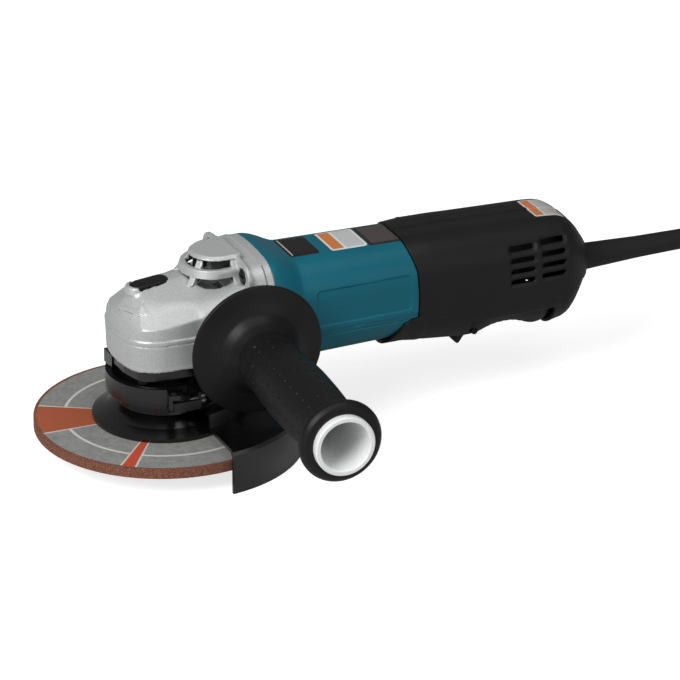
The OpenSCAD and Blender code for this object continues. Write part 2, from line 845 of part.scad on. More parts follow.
module motor_housing() {
    x0 = motor_x0;
    x1 = motor_x1;
    xc = x0 + fan_case_l;
    h = barrel_half;
    h1 = barrel_half - barrel_draft;
    f = fan_half;
    fz = fan_rise;
    z = motor_z;
    w = wall;
    color("teal")
        difference() {
            union() {
                difference() {
                    union() {
                        hull() {
                            section(x0, f, z + fz, z - fz, fan_corner);
                            section(x0 + 4, f - 0.2, z + fz - 0.8, z - fz + 0.8, fan_corner + 1);
                            section(x0 + 11, f - 0.9, z + fz - 2.8, z - fz + 2.8, fan_corner + 3);
                            section(xc - 1, f - 2, z + fz - 4.6, z - fz + 4.6, fan_corner + 5);
                            section(xc + 3, h, z + h, z - h, barrel_corner);
                        }
                        hull() {
                            section(xc - 2, h, z + h, z - h, barrel_corner);
                            section(x1 - tiny, h1, z + h1, z - h1, barrel_corner);
                        }
                    }
                    hull() {
                        section(x0 - 1, f - w, z + fz - w, z - fz + w, fan_corner - w);
                        section(x0 + 9, f - w - 0.9, z + fz - w - 2.6, z - fz + w + 2.6,
                            fan_corner + 3 - w);
                        section(xc + 1, h - w, z + h - w, z - h + w, barrel_corner - w);
                    }
                    hull() {
                        section(xc - 4, h - w, z + h - w, z - h + w, barrel_corner - w);
                        section(x1 - 3, h1 - w, z + h1 - w, z - h1 + w, barrel_corner - w);
                    }
                }
                // spigot inside the rear housing, and the rear bearing's boss
                translate([x1 - 1, 0, z])
                    rod_x(h1 - 4, 7);
                translate([x1 - 1, 0, z])
                    rod_x(rear_brg_od / 2 + 3, rear_brg_w + 5);
                // bosses for the housing's screws
                for (y = [-screw_y, screw_y])
                    for (dz = [-screw_z, screw_z])
                        translate([x0, y, z + dz])
                            rod_x(4.2, 8);
            }
            for (y = [-screw_y, screw_y])
                for (dz = [-screw_z, screw_z])
                    translate([x0 - 1, y, z + dz])
                        rod_x(2.12, 9);
            translate([rear_brg_x, 0, z])
                rod_x(rear_brg_od / 2 + 0.02, 30);
            translate([x1 - 5, 0, z])
                rod_x(rear_brg_od / 2 - 2, 30);
            // air and wire holes in the rear wall
            for (a = [45 : 90 : 315])
                translate([x1 - 5, 0, z])
                    rotate([a, 0, 0])
                        translate([0, 0, 20])
                            rod_x(5, 20);
        }
}

module stator_core() {
    color("gray")
        translate([core_x - 1, 0, motor_z])
            difference() {
                rotate([0, 90, 0])
                    ring(stator_half, core_d / 2 + 0.7, core_l + 2);
                for (side = [-1, 1])
                    translate([-1, side > 0 ? core_d / 2 - 3 : -core_d / 2 - 1, -11])
                        cube([core_l + 4, 4, 22]);
            }
}

module stator_windings() {
    color("chocolate")
        for (x = [core_x - 1 - 9 - 0.2, core_x + core_l + 1.2])
            translate([x, 0, motor_z])
                difference() {
                    rotate([0, 90, 0])
                        ring(stator_half - 1.5, core_d / 2 + 1.2, 9);
                    translate([-1, -5, -40])
                        cube([11, 10, 80]);
                }
}

module air_baffle() {
    r = fan_half - wall - 1.4;
    color("dimgray")
        translate([fan_x + fan_w + 1.1, 0, motor_z])
            union() {
                rotate([0, 90, 0])
                    ring(r, 24, 1.6);
                for (a = [0, 180])
                    rotate([a, 0, 0])
                        translate([0, -5, r - 1])
                            cube([1.6, 10, fan_rise - wall - 2.6 - r + 1]);
            }
}

module motor_bearing_front() {
    color("lightsteelblue")
        translate([front_brg_x, 0, motor_z])
            rotate([0, 90, 0])
                bearing(front_brg_od, shaft_d, front_brg_w, 8);
}

module motor_bearing_rear() {
    color("lightsteelblue")
        translate([rear_brg_x, 0, motor_z])
            rotate([0, 90, 0])
                bearing(rear_brg_od, shaft_tail_d, rear_brg_w, 7);
}

pinion_x0 = gear_r - tooth_face;

module armature_shaft() {
    color("lightgray")
        translate([0, 0, motor_z])
            rotate([0, 90, 0])
                rotate_extrude()
                    polygon([[0, pinion_x0 - 5.5], [pinion_bore_d / 2, pinion_x0 - 5.5],
                        [pinion_bore_d / 2, gear_r + 3], [shaft_d / 2, gear_r + 3],
                        [shaft_d / 2, rear_brg_x - fit], [shaft_tail_d / 2, rear_brg_x - fit],
                        [shaft_tail_d / 2, rear_brg_x + rear_brg_w], [0, rear_brg_x + rear_brg_w]]);
}

module armature_core() {
    slots = 12;
    color("gray")
        translate([core_x, 0, motor_z])
            difference() {
                rotate([0, 90, 0])
                    ring(core_d / 2, shaft_d / 2 + 0.02, core_l);
                for (i = [0 : slots - 1])
                    rotate([i * 360 / slots, 0, 0])
                        translate([-1, -1, core_d / 2 - 7])
                            cube([core_l + 2, 2, 8]);
            }
}

module armature_windings() {
    color("chocolate")
        translate([0, 0, motor_z])
            rotate([0, 90, 0])
                for (x = [core_x - winding_l, core_x + core_l])
                    translate([0, 0, x])
                        rotate_extrude()
                            polygon([[shaft_d / 2 + 0.02, 0], [core_d / 2 - 6, 0],
                                [core_d / 2 - 3, 2], [core_d / 2 - 3, winding_l - 2],
                                [core_d / 2 - 6, winding_l], [shaft_d / 2 + 0.02, winding_l]]);
}

module commutator() {
    bars = 24;
    color("peru")
        translate([commutator_x, 0, motor_z])
            difference() {
                rotate([0, 90, 0])
                    ring(commutator_d / 2, shaft_d / 2 + 0.02, commutator_l);
                for (i = [0 : bars - 1])
                    rotate([i * 360 / bars, 0, 0])
                        translate([-1, -0.2, commutator_d / 2 - 1])
                            cube([commutator_l + 2, 0.4, 2]);
            }
}

module fan() {
    blades = 11;
    color("black")
        translate([fan_x, 0, motor_z]) {
            rotate([0, 90, 0])
                ring(10, shaft_d / 2 + 0.02, fan_w);
            translate([fan_w - 2, 0, 0])
                rotate([0, 90, 0])
                    ring(fan_d / 2, 9, 2);
            for (i = [0 : blades - 1])
                rotate([i * 360 / blades, 0, 0])
                    translate([0, -0.8, 12])
                        rotate([12, 0, 0])
                            cube([fan_w - 1, 1.6, fan_d / 2 - 13.5]);
        }
}

module bevel_pinion() {
    root_large = gear_r / gear_ratio - tooth_root + 0.2;
    root_small = pinion_x0 / gear_ratio - tooth_root + 0.2;
    color("darkgray")
        translate([pinion_x0, 0, motor_z])
            difference() {
                union() {
                    rotate([0, 90, 0])
                        cylinder(r1 = root_small, r2 = root_large, h = tooth_face);
                    translate([tooth_face - eps, 0, 0])
                        rod_x(root_large, 3);
                    for (i = [0 : pinion_teeth - 1])
                        rotate([i * 360 / pinion_teeth, 0, 0])
                            translate([0.3, -tooth_w / 2, -root_small + 0.6])
                                rotate([0, gear_slope, 0])
                                    mirror([0, 0, 1])
                                        cube([tooth_face - 0.5, tooth_w,
                                            tooth_root + tooth_tip + 0.2]);
                }
                translate([-1, 0, 0])
                    rod_x(pinion_bore_d / 2 + 0.02, tooth_face + 6);
            }
}

module pinion_nut() {
    color("dimgray")
        translate([pinion_x0 - 4.2, 0, motor_z])
            rotate([0, 90, 0])
                difference() {
                    cylinder(r = 5.4, h = 4, $fn = 6);
                    translate([0, 0, -1])
                        cylinder(r = pinion_bore_d / 2 + 0.02, h = 6);
                }
}

brush_x = commutator_x + 1.5;
brush_l = 8.6;

module brush_holders() {
    color("peru")
        for (side = [0, 180])
            translate([brush_x, 0, motor_z])
                rotate([side, 0, 0])
                    difference() {
                        translate([-1.2, commutator_d / 2 + 1.5, -5])
                            cube([brush_l + 2.4, stator_half - commutator_d / 2 - 1.6, 10]);
                        translate([0, commutator_d / 2, -3.8])
                            cube([brush_l, stator_half - commutator_d / 2 + 1, 7.6]);
                    }
}

module carbon_brushes() {
    color("dimgray")
        for (side = [0, 180])
            translate([brush_x, 0, motor_z])
                rotate([side, 0, 0])
                    translate([0.1, commutator_d / 2 + fit, -3.7])
                        cube([brush_l - 0.2, 10, 7.4]);
}

module brush_springs() {
    color("silver")
        for (side = [0, 180])
            translate([brush_x + brush_l / 2, 0, motor_z])
                rotate([side, 0, 0])
                    rotate([-90, 0, 0])
                        for (i = [0 : 2])
                            translate([0, 0, commutator_d / 2 + 10.1 + i * 1.1])
                                ring(2.8, 1.8, 1.1);
}

// ---------------------------------------------------------------- rear housing

// Outside of the rear housing, drawn in by an inset
module rear_form(inset) {
    i = inset;
    e = inset > 0 ? inset + 0.4 : 0;
    top = rear_top_z;
    low = rear_low_z;
    w = rear_half;
    x1 = rear_x1;
    hull() {
        section(motor_x1 - (i > 0 ? 1 : 0), w - 0.4 - i, top - i, low + 4.5 + i, 22 - i);
        section(motor_x1 + 28, w - i, top - 0.9 - i, low + 0.4 + i, 23 - i);
        section(x1 - 32, w - i, top - 2.6 - i, low + i, 23 - i);
        section(x1 - 20 - e / 2, w - 1.2 - i, top - 4.2 - i, low + 2 + i, 21 - i);
        section(x1 - 9 - e, w - 7.5 - i, top - 11 - i, low + 10 + i, 18 - i);
        section(x1 - tiny - e, w - 18 - i, top - 22 - i, low + 20 + i, 13 - i);
    }
}

// Room for the paddle in the underside
module paddle_room(grow) {
    translate([paddle_x0 - grow, -rear_half, rear_low_z - 5])
        cube([paddle_x1 - paddle_x0 + 2 * grow, 2 * rear_half,
            paddle_top_z - rear_low_z + 5]);
}

// Half of the rear housing; side is 1 for +Y and -1 for -Y
module rear_half_shell(side) {
    far = side > 0 ? 0 : -rear_half;
    difference() {
        union() {
            difference() {
                rear_form(0);
                rear_form(wall);
            }
            intersection() {
                rear_form(0.5);
                union() {
                    // ribs that hold the switch and the filter
                    for (x = [switch_x + 3, switch_x + 21])
                        translate([x, side > 0 ? 9.3 : -rear_half, switch_low_z + 4])
                            cube([2.5, rear_half - 9.3, 16]);
                    for (x = [motor_x1 + 22, motor_x1 + 36])
                        translate([x, side > 0 ? 14.3 : -rear_half, motor_z + 12])
                            cube([2.5, rear_half - 14.3, 12]);
                    // bearings for the paddle's pin, and the webs that carry them
                    translate([paddle_x0 - 8, side > 0 ? 12 : -16, rear_low_z + 0.5])
                        cube([17, 4, 14.5]);
                    translate([paddle_x0 - 8, side > 0 ? 12 : -rear_half, rear_low_z + 0.5])
                        cube([4, rear_half - 12, 14.5]);
                    // webs under the cord clamp
                    translate([rear_x1 - 30, side > 0 ? 9 : -rear_half, cord_exit_z - cord_r - 8])
                        cube([12, rear_half - 9, 6]);
                    for (p = SCREWS)
                        translate([p[0], far + rear_half, p[1]])
                            rod_y(4, rear_half);
                }
            }
            // collar of the cord guard
            intersection() {
                translate([rear_x1 - 11, 0, cord_exit_z])
                    rotate([0, 90, 0])
                        ring(14, cord_guard_d / 2 + 1, 10);
                rear_form(0.5);
            }
            // tongue under the motor housing
            difference() {
                hull() {
                    section(motor_x1 - 31, 20, motor_z, rear_low_z + 7.6, 15);
                    section(motor_x1 + 1, 21, motor_z, rear_low_z + 4.5, 15);
                }
                translate([motor_x1 - 40, -40, rear_low_z + 16])
                    cube([60, 80, 60]);
                hull() {
                    h = barrel_half + gap;
                    section(motor_x1 - 60, h, motor_z + h, motor_z - h, barrel_corner);
                    section(motor_x1 + 2, h - barrel_draft, motor_z + h, motor_z - h + barrel_draft,
                        barrel_corner);
                }
            }
        }
        // the other half
        translate([motor_x1 - 45, side > 0 ? -80 : 0, 0])
            cube([rear_l + 60, 80, 140]);
        difference() {
            paddle_room(0.6);
            translate([paddle_x0 - 9.5, -16.5, rear_low_z + 3])
                cube([19, 33, 14]);
        }
        translate([paddle_x0 - 9, -lock_off_w / 2 - 1, rear_low_z - 1])
            cube([20, lock_off_w + 2, 14]);
        translate([paddle_x, rear_half, paddle_z])
            rod_y(paddle_pin_d / 2 + 0.02, 2 * rear_half);
        for (y = [-11.5, 11.5])
            translate([rear_x1 - 24, y, cord_exit_z - cord_r - 9])
                cylinder(r = 1.52, h = 8);
        // cord guard's passage
        translate([rear_x1 - 20, 0, cord_exit_z])
            rod_x(cord_guard_d / 2 + fit, 40);
        translate([rear_x1 - 7, 0, cord_exit_z])
            rod_x(cord_guard_d / 2 + 3 + fit, 3.1);
        // cooling slots
        for (i = [0 : 1])
            for (j = [0 : 3])
                translate([vent_x + i * vent_pitch_x, side * 40, vent_low_z + j * vent_pitch_z
                        + i * 0.8]) {
                    translate([vent_h / 2, -20, -vent_h / 2])
                        cube([vent_w - vent_h, 40, vent_h]);
                    for (x = [vent_h / 2, vent_w - vent_h / 2])
                        translate([x, 20, 0])
                            rod_y(vent_h / 2, 40);
                }
        for (p = SCREWS)
            translate([p[0], p[2] + 0.01, p[1]]) {
                rod_y(2.05, p[2] + screw_reach + 1);
                translate([0, 20, 0])
                    rod_y(3.6, 20);
            }
    }
}

// Place of each housing screw along X and Z, and of its head's seat along Y
SCREWS = [[motor_x1 + 13, motor_z - 23, 23], [motor_x1 + 13, motor_z + 23, 23],
    [rear_x1 - 17, motor_z + 14, 23], [rear_x1 - 26, rear_low_z + 9.5, 17]];
screw_reach = 14;

module rear_housing_left() {
    color("dimgray")
        rear_half_shell(1);
}

module rear_housing_right() {
    color("dimgray")
        rear_half_shell(-1);
}

module rear_housing_screws() {
    color("silver")
        for (p = SCREWS)
            translate([p[0], p[2], p[1]])
                rotate([-90, 0, 0])
                    screw(3.4, 2.4, 2, p[2] + screw_reach);
}

module switch_body() {
    color("black")
        difference() {
            translate([switch_x, -9, switch_low_z])
                cube([27, 18, 22]);
            translate([plunger_x, 0, switch_low_z - 1])
                cylinder(r = 2.6, h = 9);
        }
}

module switch_plunger() {
    color("white")
        translate([plunger_x, 0, switch_low_z - 4.5])
            cylinder(r = 2.3, h = 8);
}

module noise_filter() {
    color("steelblue")
        translate([motor_x1 + 18, -14, motor_z + 11])
            cube([24, 28, 14]);
}

module paddle() {
    i = wall + 1;
    x0 = paddle_x0;
    x1 = paddle_x1;
    w = rear_half - i;
    low = rear_low_z;
    color("dimgray")
        difference() {
            intersection() {
                hull() {
                    section(x0 + 1, w - 1, low + 40, low + 2, 23 - i);
                    section(x0 + 8, w, low + 40, low + 0.8, 24 - i);
                    section(x1 - 6, w, low + 40, low + 0.5, 24 - i);
                    section(x1 - tiny, w - 1, low + 40, low + 3, 24 - i);
                }
                translate([x0, -rear_half, low - 1])
                    cube([x1 - x0, 2 * rear_half, paddle_top_z - low + 3.5]);
            }
            // inside
            intersection() {
                hull() {
                    section(x0 + 3, w - 2.5, low + 50, low + 4.5, 19 - i);
                    section(x1 - 3, w - 2.5, low + 50, low + 5, 19 - i);
                }
                translate([x0 + 2.5, -rear_half, low])
                    cube([x1 - x0 - 5, 2 * rear_half, 60]);
            }
            // finger rest
            translate([paddle_x + 27, rear_half, low - 17])
                rod_y(22, 2 * rear_half);
            // slot of the lock-off lever
            translate([x0 - 1, -lock_off_w / 2 - 1, low - 2])
                cube([22, lock_off_w + 2, 8.5]);
            // room for the housing's pin bearings
            for (side = [-1, 1])
                translate([x0 - 1, side > 0 ? 9.6 : -17, low - 2])
                    cube([12, 7.4, 30]);
            translate([paddle_x, rear_half, paddle_z])
                rod_y(paddle_pin_d / 2 + fit, 2 * rear_half);
            // bearing of the lock-off lever's pin
            translate([lock_off_x, 15, lock_off_z])
                rod_y(1.5 + 0.02, 30);
        }
    // lugs for the lock-off lever's pin, and the switch's post
    color("dimgray")
        difference() {
            union() {
                for (side = [-1, 1])
                    translate([lock_off_x - 3, side > 0 ? lock_off_w / 2 + 1 : -lock_off_w / 2 - 3.5,
                            low + 3])
                        cube([6, 2.5, 8]);
                translate([plunger_x - 3, -5, low + 4])
                    cube([6, 10, switch_low_z - 4.8 - low - 4]);
            }
            translate([lock_off_x, 15, lock_off_z])
                rod_y(1.5 + 0.02, 30);
        }
}

module paddle_pin() {
    color("silver")
        translate([paddle_x, 24, paddle_z])
            rod_y(paddle_pin_d / 2, 48);
}

module paddle_spring() {
    color("silver")
        translate([paddle_x + 34, 0, 0])
            spring(4, 0.6, rear_low_z + 5.4, switch_low_z - 0.4, 6);
}

module lock_off_lever() {
    w = lock_off_w;
    color("black")
        difference() {
            union() {
                hull() {
                    translate([lock_off_x, w / 2, lock_off_z])
                        rod_y(3.2, w);
                    translate([paddle_x + 1, w / 2, rear_low_z + 0.6])
                        rod_y(2, w);
                }
                hull() {
                    translate([paddle_x + 1, w / 2, rear_low_z + 0.6])
                        rod_y(2, w);
                    translate([paddle_x - 2.4, w / 2, rear_low_z - 5])
                        rod_y(1.5, w);
                }
            }
            translate([lock_off_x, w, lock_off_z])
                rod_y(1.5 + fit, 2 * w);
        }
}

module lock_off_pin() {
    l = lock_off_w + 7;
    color("silver")
        translate([lock_off_x, l / 2, lock_off_z])
            rod_y(1.5, l);
}

// ---------------------------------------------------------------- side handle

module side_grip() {
    root = grip_d / 2 - 1.8;
    mid = grip_d / 2;
    l = handle_l - 4;
    bore = grip_d / 2 - 4.3;
    f = handle_flange_d / 2;
    e = grip_end_d / 2;
    color("black")
        handle_place(-1)
            rotate_extrude($fn = 72)
                polygon([[bore, 3], [16, 3], [f - 1, 4.4], [f, 5.4], [f - 0.4, 7],
                    [f - 3, 7.8], [30, 9.6], [24, 12.6], [20.5, 17], [root + 1, 23],
                    [root, 32], [mid - 0.5, l * 0.4], [mid, l * 0.52], [mid - 0.3, l * 0.66],
                    [root + 0.4, l - 24], [root + 0.4, l - 17], [root + 2, l - 12],
                    [e - 1.6, l - 9.5], [e, l - 6.5], [e, l - 3.5], [e - 2, l - 0.8],
                    [e - 4, l], [17.4, l], [17.4, l - 14], [bore, l - 20]]);
}

module side_handle_core() {
    out = grip_d / 2 - 4.3;
    bore = handle_bore_d / 2;
    l = handle_l;
    color("white")
        handle_place(-1)
            difference() {
                rotate_extrude($fn = 72)
                    polygon([[0, 0.4], [13, 0.4], [out - 0.3, 2], [out, 3], [out, l - 24],
                        [17.35, l - 18], [17.35, l - 1], [16.6, l], [14.8, l],
                        [14.2, l - 1], [bore, l - 26], [bore, 34], [0, 34]]);
                translate([0, 0, -1])
                    cylinder(r = stud_d / 2 + 0.02, h = 26);
                translate([-2, 8, l - 44])
                    cube([4, 12, 34]);
            }
}

module side_handle_stud() {
    color("silver")
        handle_place(-1)
            translate([0, 0, 1 - stud_depth])
                cylinder(r = stud_d / 2 - fit, h = stud_depth + 23);
}

// ---------------------------------------------------------------- cord

module cord_clamp() {
    x = rear_x1 - 28;
    color("black")
        difference() {
            translate([x, -14, cord_exit_z - cord_r - 2])
                cube([8, 28, 2 * cord_r + 4]);
            translate([x - 1, 0, cord_exit_z])
                rod_x(cord_r + fit, 20);
            translate([x - 1, -20, cord_exit_z - 0.5])
                cube([10, 16, 1]);
            for (side = [-1, 1])
                translate([x + 4, side * 11.5, cord_exit_z - 20])
                    cylinder(r = 1.55, h = 40);
        }
}

module cord_clamp_screws() {
    color("silver")
        for (side = [-1, 1])
            translate([rear_x1 - 24, side * 11.5, cord_exit_z + cord_r + 2])
                screw(2.4, 2, 1.5, 2 * cord_r + 7.5);
}

module cord_guard() {
    r0 = cord_guard_d / 2;
    r1 = cord_guard_tip_d / 2;
    color("black")
        translate([rear_x1, 0, cord_exit_z])
            rotate([0, 90, 0])
                rotate_extrude()
                    polygon([[cord_r + fit, -11], [r0, -11], [r0, -7 + fit], [r0 + 3, -7 + fit],
                        [r0 + 3, -4], [r0, -4], [r0, 1], [r1 + 0.8, cord_guard_l * 0.42],
                        [r1, cord_guard_l], [cord_r + fit, cord_guard_l]]);
}

// The cord inside its guard, up to the clamp, and its two leads to the switch
module cord_tail() {
    lead_x = switch_x + 27;
    end_x = rear_x1 - 32;
    color("black") {
        translate([end_x, 0, cord_exit_z])
            rod_x(cord_r, guard_tip_x - end_x);
        for (side = [-1, 1])
            translate([lead_x, side * 2, cord_exit_z])
                rod_x(1.3, end_x - lead_x + eps);
    }
}

module cord() {
    color("black")
        sweep(CORD_PATH, cord_r, 12);
}

module cord_coil() {
    w = 2 * cord_d;
    color("black")
        translate([coil_x, coil_y, 0])
            rotate_extrude($fn = 72)
                polygon([[coil_d / 2 - w / 2, floor_z + 2.5], [coil_d / 2 - w / 2 + 2.5, floor_z],
                    [coil_d / 2 + w / 2 - 2.5, floor_z], [coil_d / 2 + w / 2, floor_z + 2.5],
                    [coil_d / 2 + w / 2, coil_top_z - 2.5], [coil_d / 2 + w / 2 - 2.5, coil_top_z],
                    [coil_d / 2 - w / 2 + 2.5, coil_top_z], [coil_d / 2 - w / 2, coil_top_z - 2.5]]);
}

plug_x = coil_x - coil_d / 2;
plug_y = coil_y - plug_l / 2;

module plug_body() {
    z = coil_top_z + gap;
    color("black")
        hull() {
            for (side = [-1, 1])
                for (dz = [4, plug_h - 4])
                    translate([plug_x + side * (plug_w / 2 - 4), plug_y + plug_l - 6, z + dz])
                        rod_y(4, plug_l - 6);
            translate([plug_x, plug_y + plug_l, z + plug_h / 2])
                rod_y(5, 6);
        }
}

module plug_blades() {
    color("gold")
        for (side = [-1, 1])
            translate([plug_x + side * 6.35 - 0.75, plug_y - 18, coil_top_z + gap + plug_h / 2 - 3.2])
                cube([1.5, 18, 6.4]);
}

grinding_wheel();
backing_flange();
lock_nut();
spindle();
bevel_gear();
gear_key();
gear_clip();
guard_shell();
guard_band();
guard_adjusting_screw();
guard_lever_pin();
guard_lever();
bearing_box();
bearing_box_screws();
spindle_bearing_lower();
spindle_bearing_upper();
gear_housing();
gear_housing_screws();
lock_button();
lock_pin();
lock_spring();
motor_housing();
stator_core();
stator_windings();
air_baffle();
motor_bearing_front();
motor_bearing_rear();
armature_shaft();
armature_core();
armature_windings();
commutator();
fan();
bevel_pinion();
pinion_nut();
brush_holders();
carbon_brushes();
brush_springs();
rear_housing_left();
rear_housing_right();
rear_housing_screws();
switch_body();
switch_plunger();
noise_filter();
paddle();
paddle_pin();
paddle_spring();
lock_off_lever();
lock_off_pin();
side_grip();
side_handle_core();
side_handle_stud();
cord_clamp();
cord_clamp_screws();
cord_guard();
cord_tail();
cord();
cord_coil();
plug_body();
plug_blades();
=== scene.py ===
"""Angle grinder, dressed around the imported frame."""
import json
import math

import bpy
import numpy as np
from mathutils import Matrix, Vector


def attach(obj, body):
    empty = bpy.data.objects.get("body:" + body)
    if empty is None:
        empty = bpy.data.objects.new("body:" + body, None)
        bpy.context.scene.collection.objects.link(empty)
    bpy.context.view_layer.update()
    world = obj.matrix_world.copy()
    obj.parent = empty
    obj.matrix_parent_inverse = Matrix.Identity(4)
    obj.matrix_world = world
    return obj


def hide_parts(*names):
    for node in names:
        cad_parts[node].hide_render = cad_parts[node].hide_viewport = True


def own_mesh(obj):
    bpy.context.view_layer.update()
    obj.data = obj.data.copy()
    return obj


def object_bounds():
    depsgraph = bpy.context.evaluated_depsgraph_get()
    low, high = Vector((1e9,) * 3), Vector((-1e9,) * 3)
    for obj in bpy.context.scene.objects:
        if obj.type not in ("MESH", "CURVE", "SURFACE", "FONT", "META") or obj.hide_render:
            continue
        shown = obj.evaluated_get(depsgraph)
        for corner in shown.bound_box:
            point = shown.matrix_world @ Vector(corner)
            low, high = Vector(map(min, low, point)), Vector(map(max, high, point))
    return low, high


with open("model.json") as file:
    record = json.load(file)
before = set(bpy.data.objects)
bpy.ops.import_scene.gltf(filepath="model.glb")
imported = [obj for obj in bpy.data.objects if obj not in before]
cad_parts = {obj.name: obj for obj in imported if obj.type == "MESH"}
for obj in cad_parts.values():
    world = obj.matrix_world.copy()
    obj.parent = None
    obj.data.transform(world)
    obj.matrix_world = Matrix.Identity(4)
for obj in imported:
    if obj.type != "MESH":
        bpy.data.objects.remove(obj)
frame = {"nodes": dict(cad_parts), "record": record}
CAD_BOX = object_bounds()
MM = 0.001
SCENE = bpy.context.scene
SCENE.view_settings.view_transform = "Standard"

# ---------------------------------------------------------------- camera

LOOK = Vector((0.0992, -0.0231, 0.0426))
cam = bpy.data.cameras.new("camera")
cam.lens = 264.7
cam.sensor_width = 36
cam.clip_end = 20
cam_obj = bpy.data.objects.new("camera", cam)
cam_obj.location = (-0.959893, -2.401861, 1.218296)
cam_obj.rotation_euler = (LOOK - cam_obj.location).to_track_quat("-Z", "Y").to_euler()
SCENE.collection.objects.link(cam_obj)
SCENE.camera = cam_obj


# ---------------------------------------------------------------- materials

def lin(c):
    """sRGB colour, 0 to 255, as linear RGBA."""
    out = [x / 255 / 12.92 if x / 255 <= 0.04045 else ((x / 255 + 0.055) / 1.055) ** 2.4
           for x in c]
    return (*out, 1.0)


def shades(colour, tone):
    """A darker and a paler shade of a colour."""
    c = lin(colour)
    return (tuple(v * (1 - tone) for v in c[:3]) + (1,),
            tuple(min(1, v * (1 + tone)) for v in c[:3]) + (1,))


STICKER_Z = 0.08  # stickers lie above this height only, in metres


class Mat:
    """A node material that is put together in short steps."""

    def __init__(self, name, rough=0.5, metallic=0.0, coat=0.0, coat_rough=0.1, specular=0.5):
        self.m = bpy.data.materials.new(name)
        self.m.use_nodes = True
        self.t = self.m.node_tree
        self.shader = self.t.nodes["Principled BSDF"]
        s = self.shader.inputs
        s["Roughness"].default_value = rough
        s["Metallic"].default_value = metallic
        s["Coat Weight"].default_value = coat
        s["Coat Roughness"].default_value = coat_rough
        s["Specular IOR Level"].default_value = specular
        self.xyz = self.node("ShaderNodeTexCoord").outputs["Object"]
        self.normal = None

    def node(self, kind, **values):
        """A new node with its properties set."""
        n = self.t.nodes.new(kind)
        for k, v in values.items():
            setattr(n, k, v)
        return n

    def link(self, a, b):
        self.t.links.new(a, b)

    def feed(self, socket, value):
        """Sets a socket to a constant, or links it."""
        if isinstance(value, (int, float, tuple)):
            socket.default_value = value
        else:
            self.link(value, socket)

    def noise(self, scale, detail=3.0, rough=0.55, at=None):
        """Noise in the object's own coordinates, or at others."""
        n = self.node("ShaderNodeTexNoise")
        n.inputs["Scale"].default_value = scale
        n.inputs["Detail"].default_value = detail
        n.inputs["Roughness"].default_value = rough
        self.link(at or self.xyz, n.inputs["Vector"])
        return n.outputs["Fac"]

    def stretch(self, sx, sy, sz):
        n = self.node("ShaderNodeMapping")
        n.inputs["Scale"].default_value = (sx, sy, sz)
        self.link(self.xyz, n.inputs["Vector"])
        return n.outputs["Vector"]

    def remap(self, value, a, b, c, d):
        """a to b becomes c to d."""
        n = self.node("ShaderNodeMapRange")
        self.link(value, n.inputs["Value"])
        for key, v in zip(("From Min", "From Max", "To Min", "To Max"), (a, b, c, d)):
            n.inputs[key].default_value = v
        return n.outputs["Result"]

    def math(self, op, a, b=None):
        n = self.node("ShaderNodeMath", operation=op)
        self.feed(n.inputs[0], a)
        if b is not None:
            self.feed(n.inputs[1], b)
        return n.outputs[0]

    def product(self, first, *others):
        for other in others:
            first = self.math("MULTIPLY", first, other)
        return first

    def length(self, u, v):
        return self.math("SQRT", self.math("ADD", self.product(u, u), self.product(v, v)))

    def mix(self, fac, a, b, blend="MIX"):
        n = self.node("ShaderNodeMix", data_type="RGBA", blend_type=blend)
        for k, v in ((0, fac), (6, a), (7, b)):
            self.feed(n.inputs[k], v)
        return n.outputs[2]

    def split(self):
        n = self.node("ShaderNodeSeparateXYZ")
        self.link(self.xyz, n.inputs[0])
        return n.outputs

    def plate(self, x0, x1, half, r):
        """1 on a round-cornered patch of the upper side, symmetric about y = 0."""
        x, y, z = self.split()
        off = self.math("ABSOLUTE", self.math("SUBTRACT", x, (x0 + x1) / 2))
        qx = self.math("SUBTRACT", off, (x1 - x0) / 2 - r)
        qy = self.math("SUBTRACT", self.math("ABSOLUTE", y), half - r)
        far = self.length(self.math("MAXIMUM", qx, 0.0), self.math("MAXIMUM", qy, 0.0))
        return self.product(self.math("LESS_THAN", far, r),
                            self.math("GREATER_THAN", z, STICKER_Z))

    def bump(self, height, distance, strength=1.0):
        n = self.node("ShaderNodeBump")
        n.inputs["Distance"].default_value = distance
        n.inputs["Strength"].default_value = strength
        self.link(height, n.inputs["Height"])
        if self.normal is not None:
            self.link(self.normal, n.inputs["Normal"])
        self.normal = n.outputs["Normal"]
        return self

    def done(self, colour, rough=None):
        """Links colour, roughness and bumps to the shader, and gives the material."""
        s = self.shader.inputs
        self.link(colour, s["Base Color"])
        if rough is not None:
            self.link(rough, s["Roughness"])
        if self.normal is not None:
            self.link(self.normal, s["Normal"])
        return self.m


# near-black painted shade for the inside of the exhaust cowl
COWL_SHADE_BLACK = (0.004, 0.004, 0.004, 1)


def cowl_shade_share(m):
    """Share of the painted shade that darkens the inside of the exhaust cowl."""
    x, y, z = m.split()
    dx = m.math("MINIMUM", m.math("SUBTRACT", x, 0.0315), 0.0)
    rad = m.length(dx, y)
    reach = m.remap(z, 0.0915, 0.0935, 0.0184, 0.0144)
    return m.product(
        m.math("LESS_THAN", rad, reach),
        m.math("LESS_THAN", z, 0.1012),
        m.math("LESS_THAN", x, 0.036),
        m.math("GREATER_THAN", x, 0.012),
        m.math("GREATER_THAN", m.math("ADD", z, m.math("MULTIPLY", rad, 0.45)), 0.0965),
        0.97)


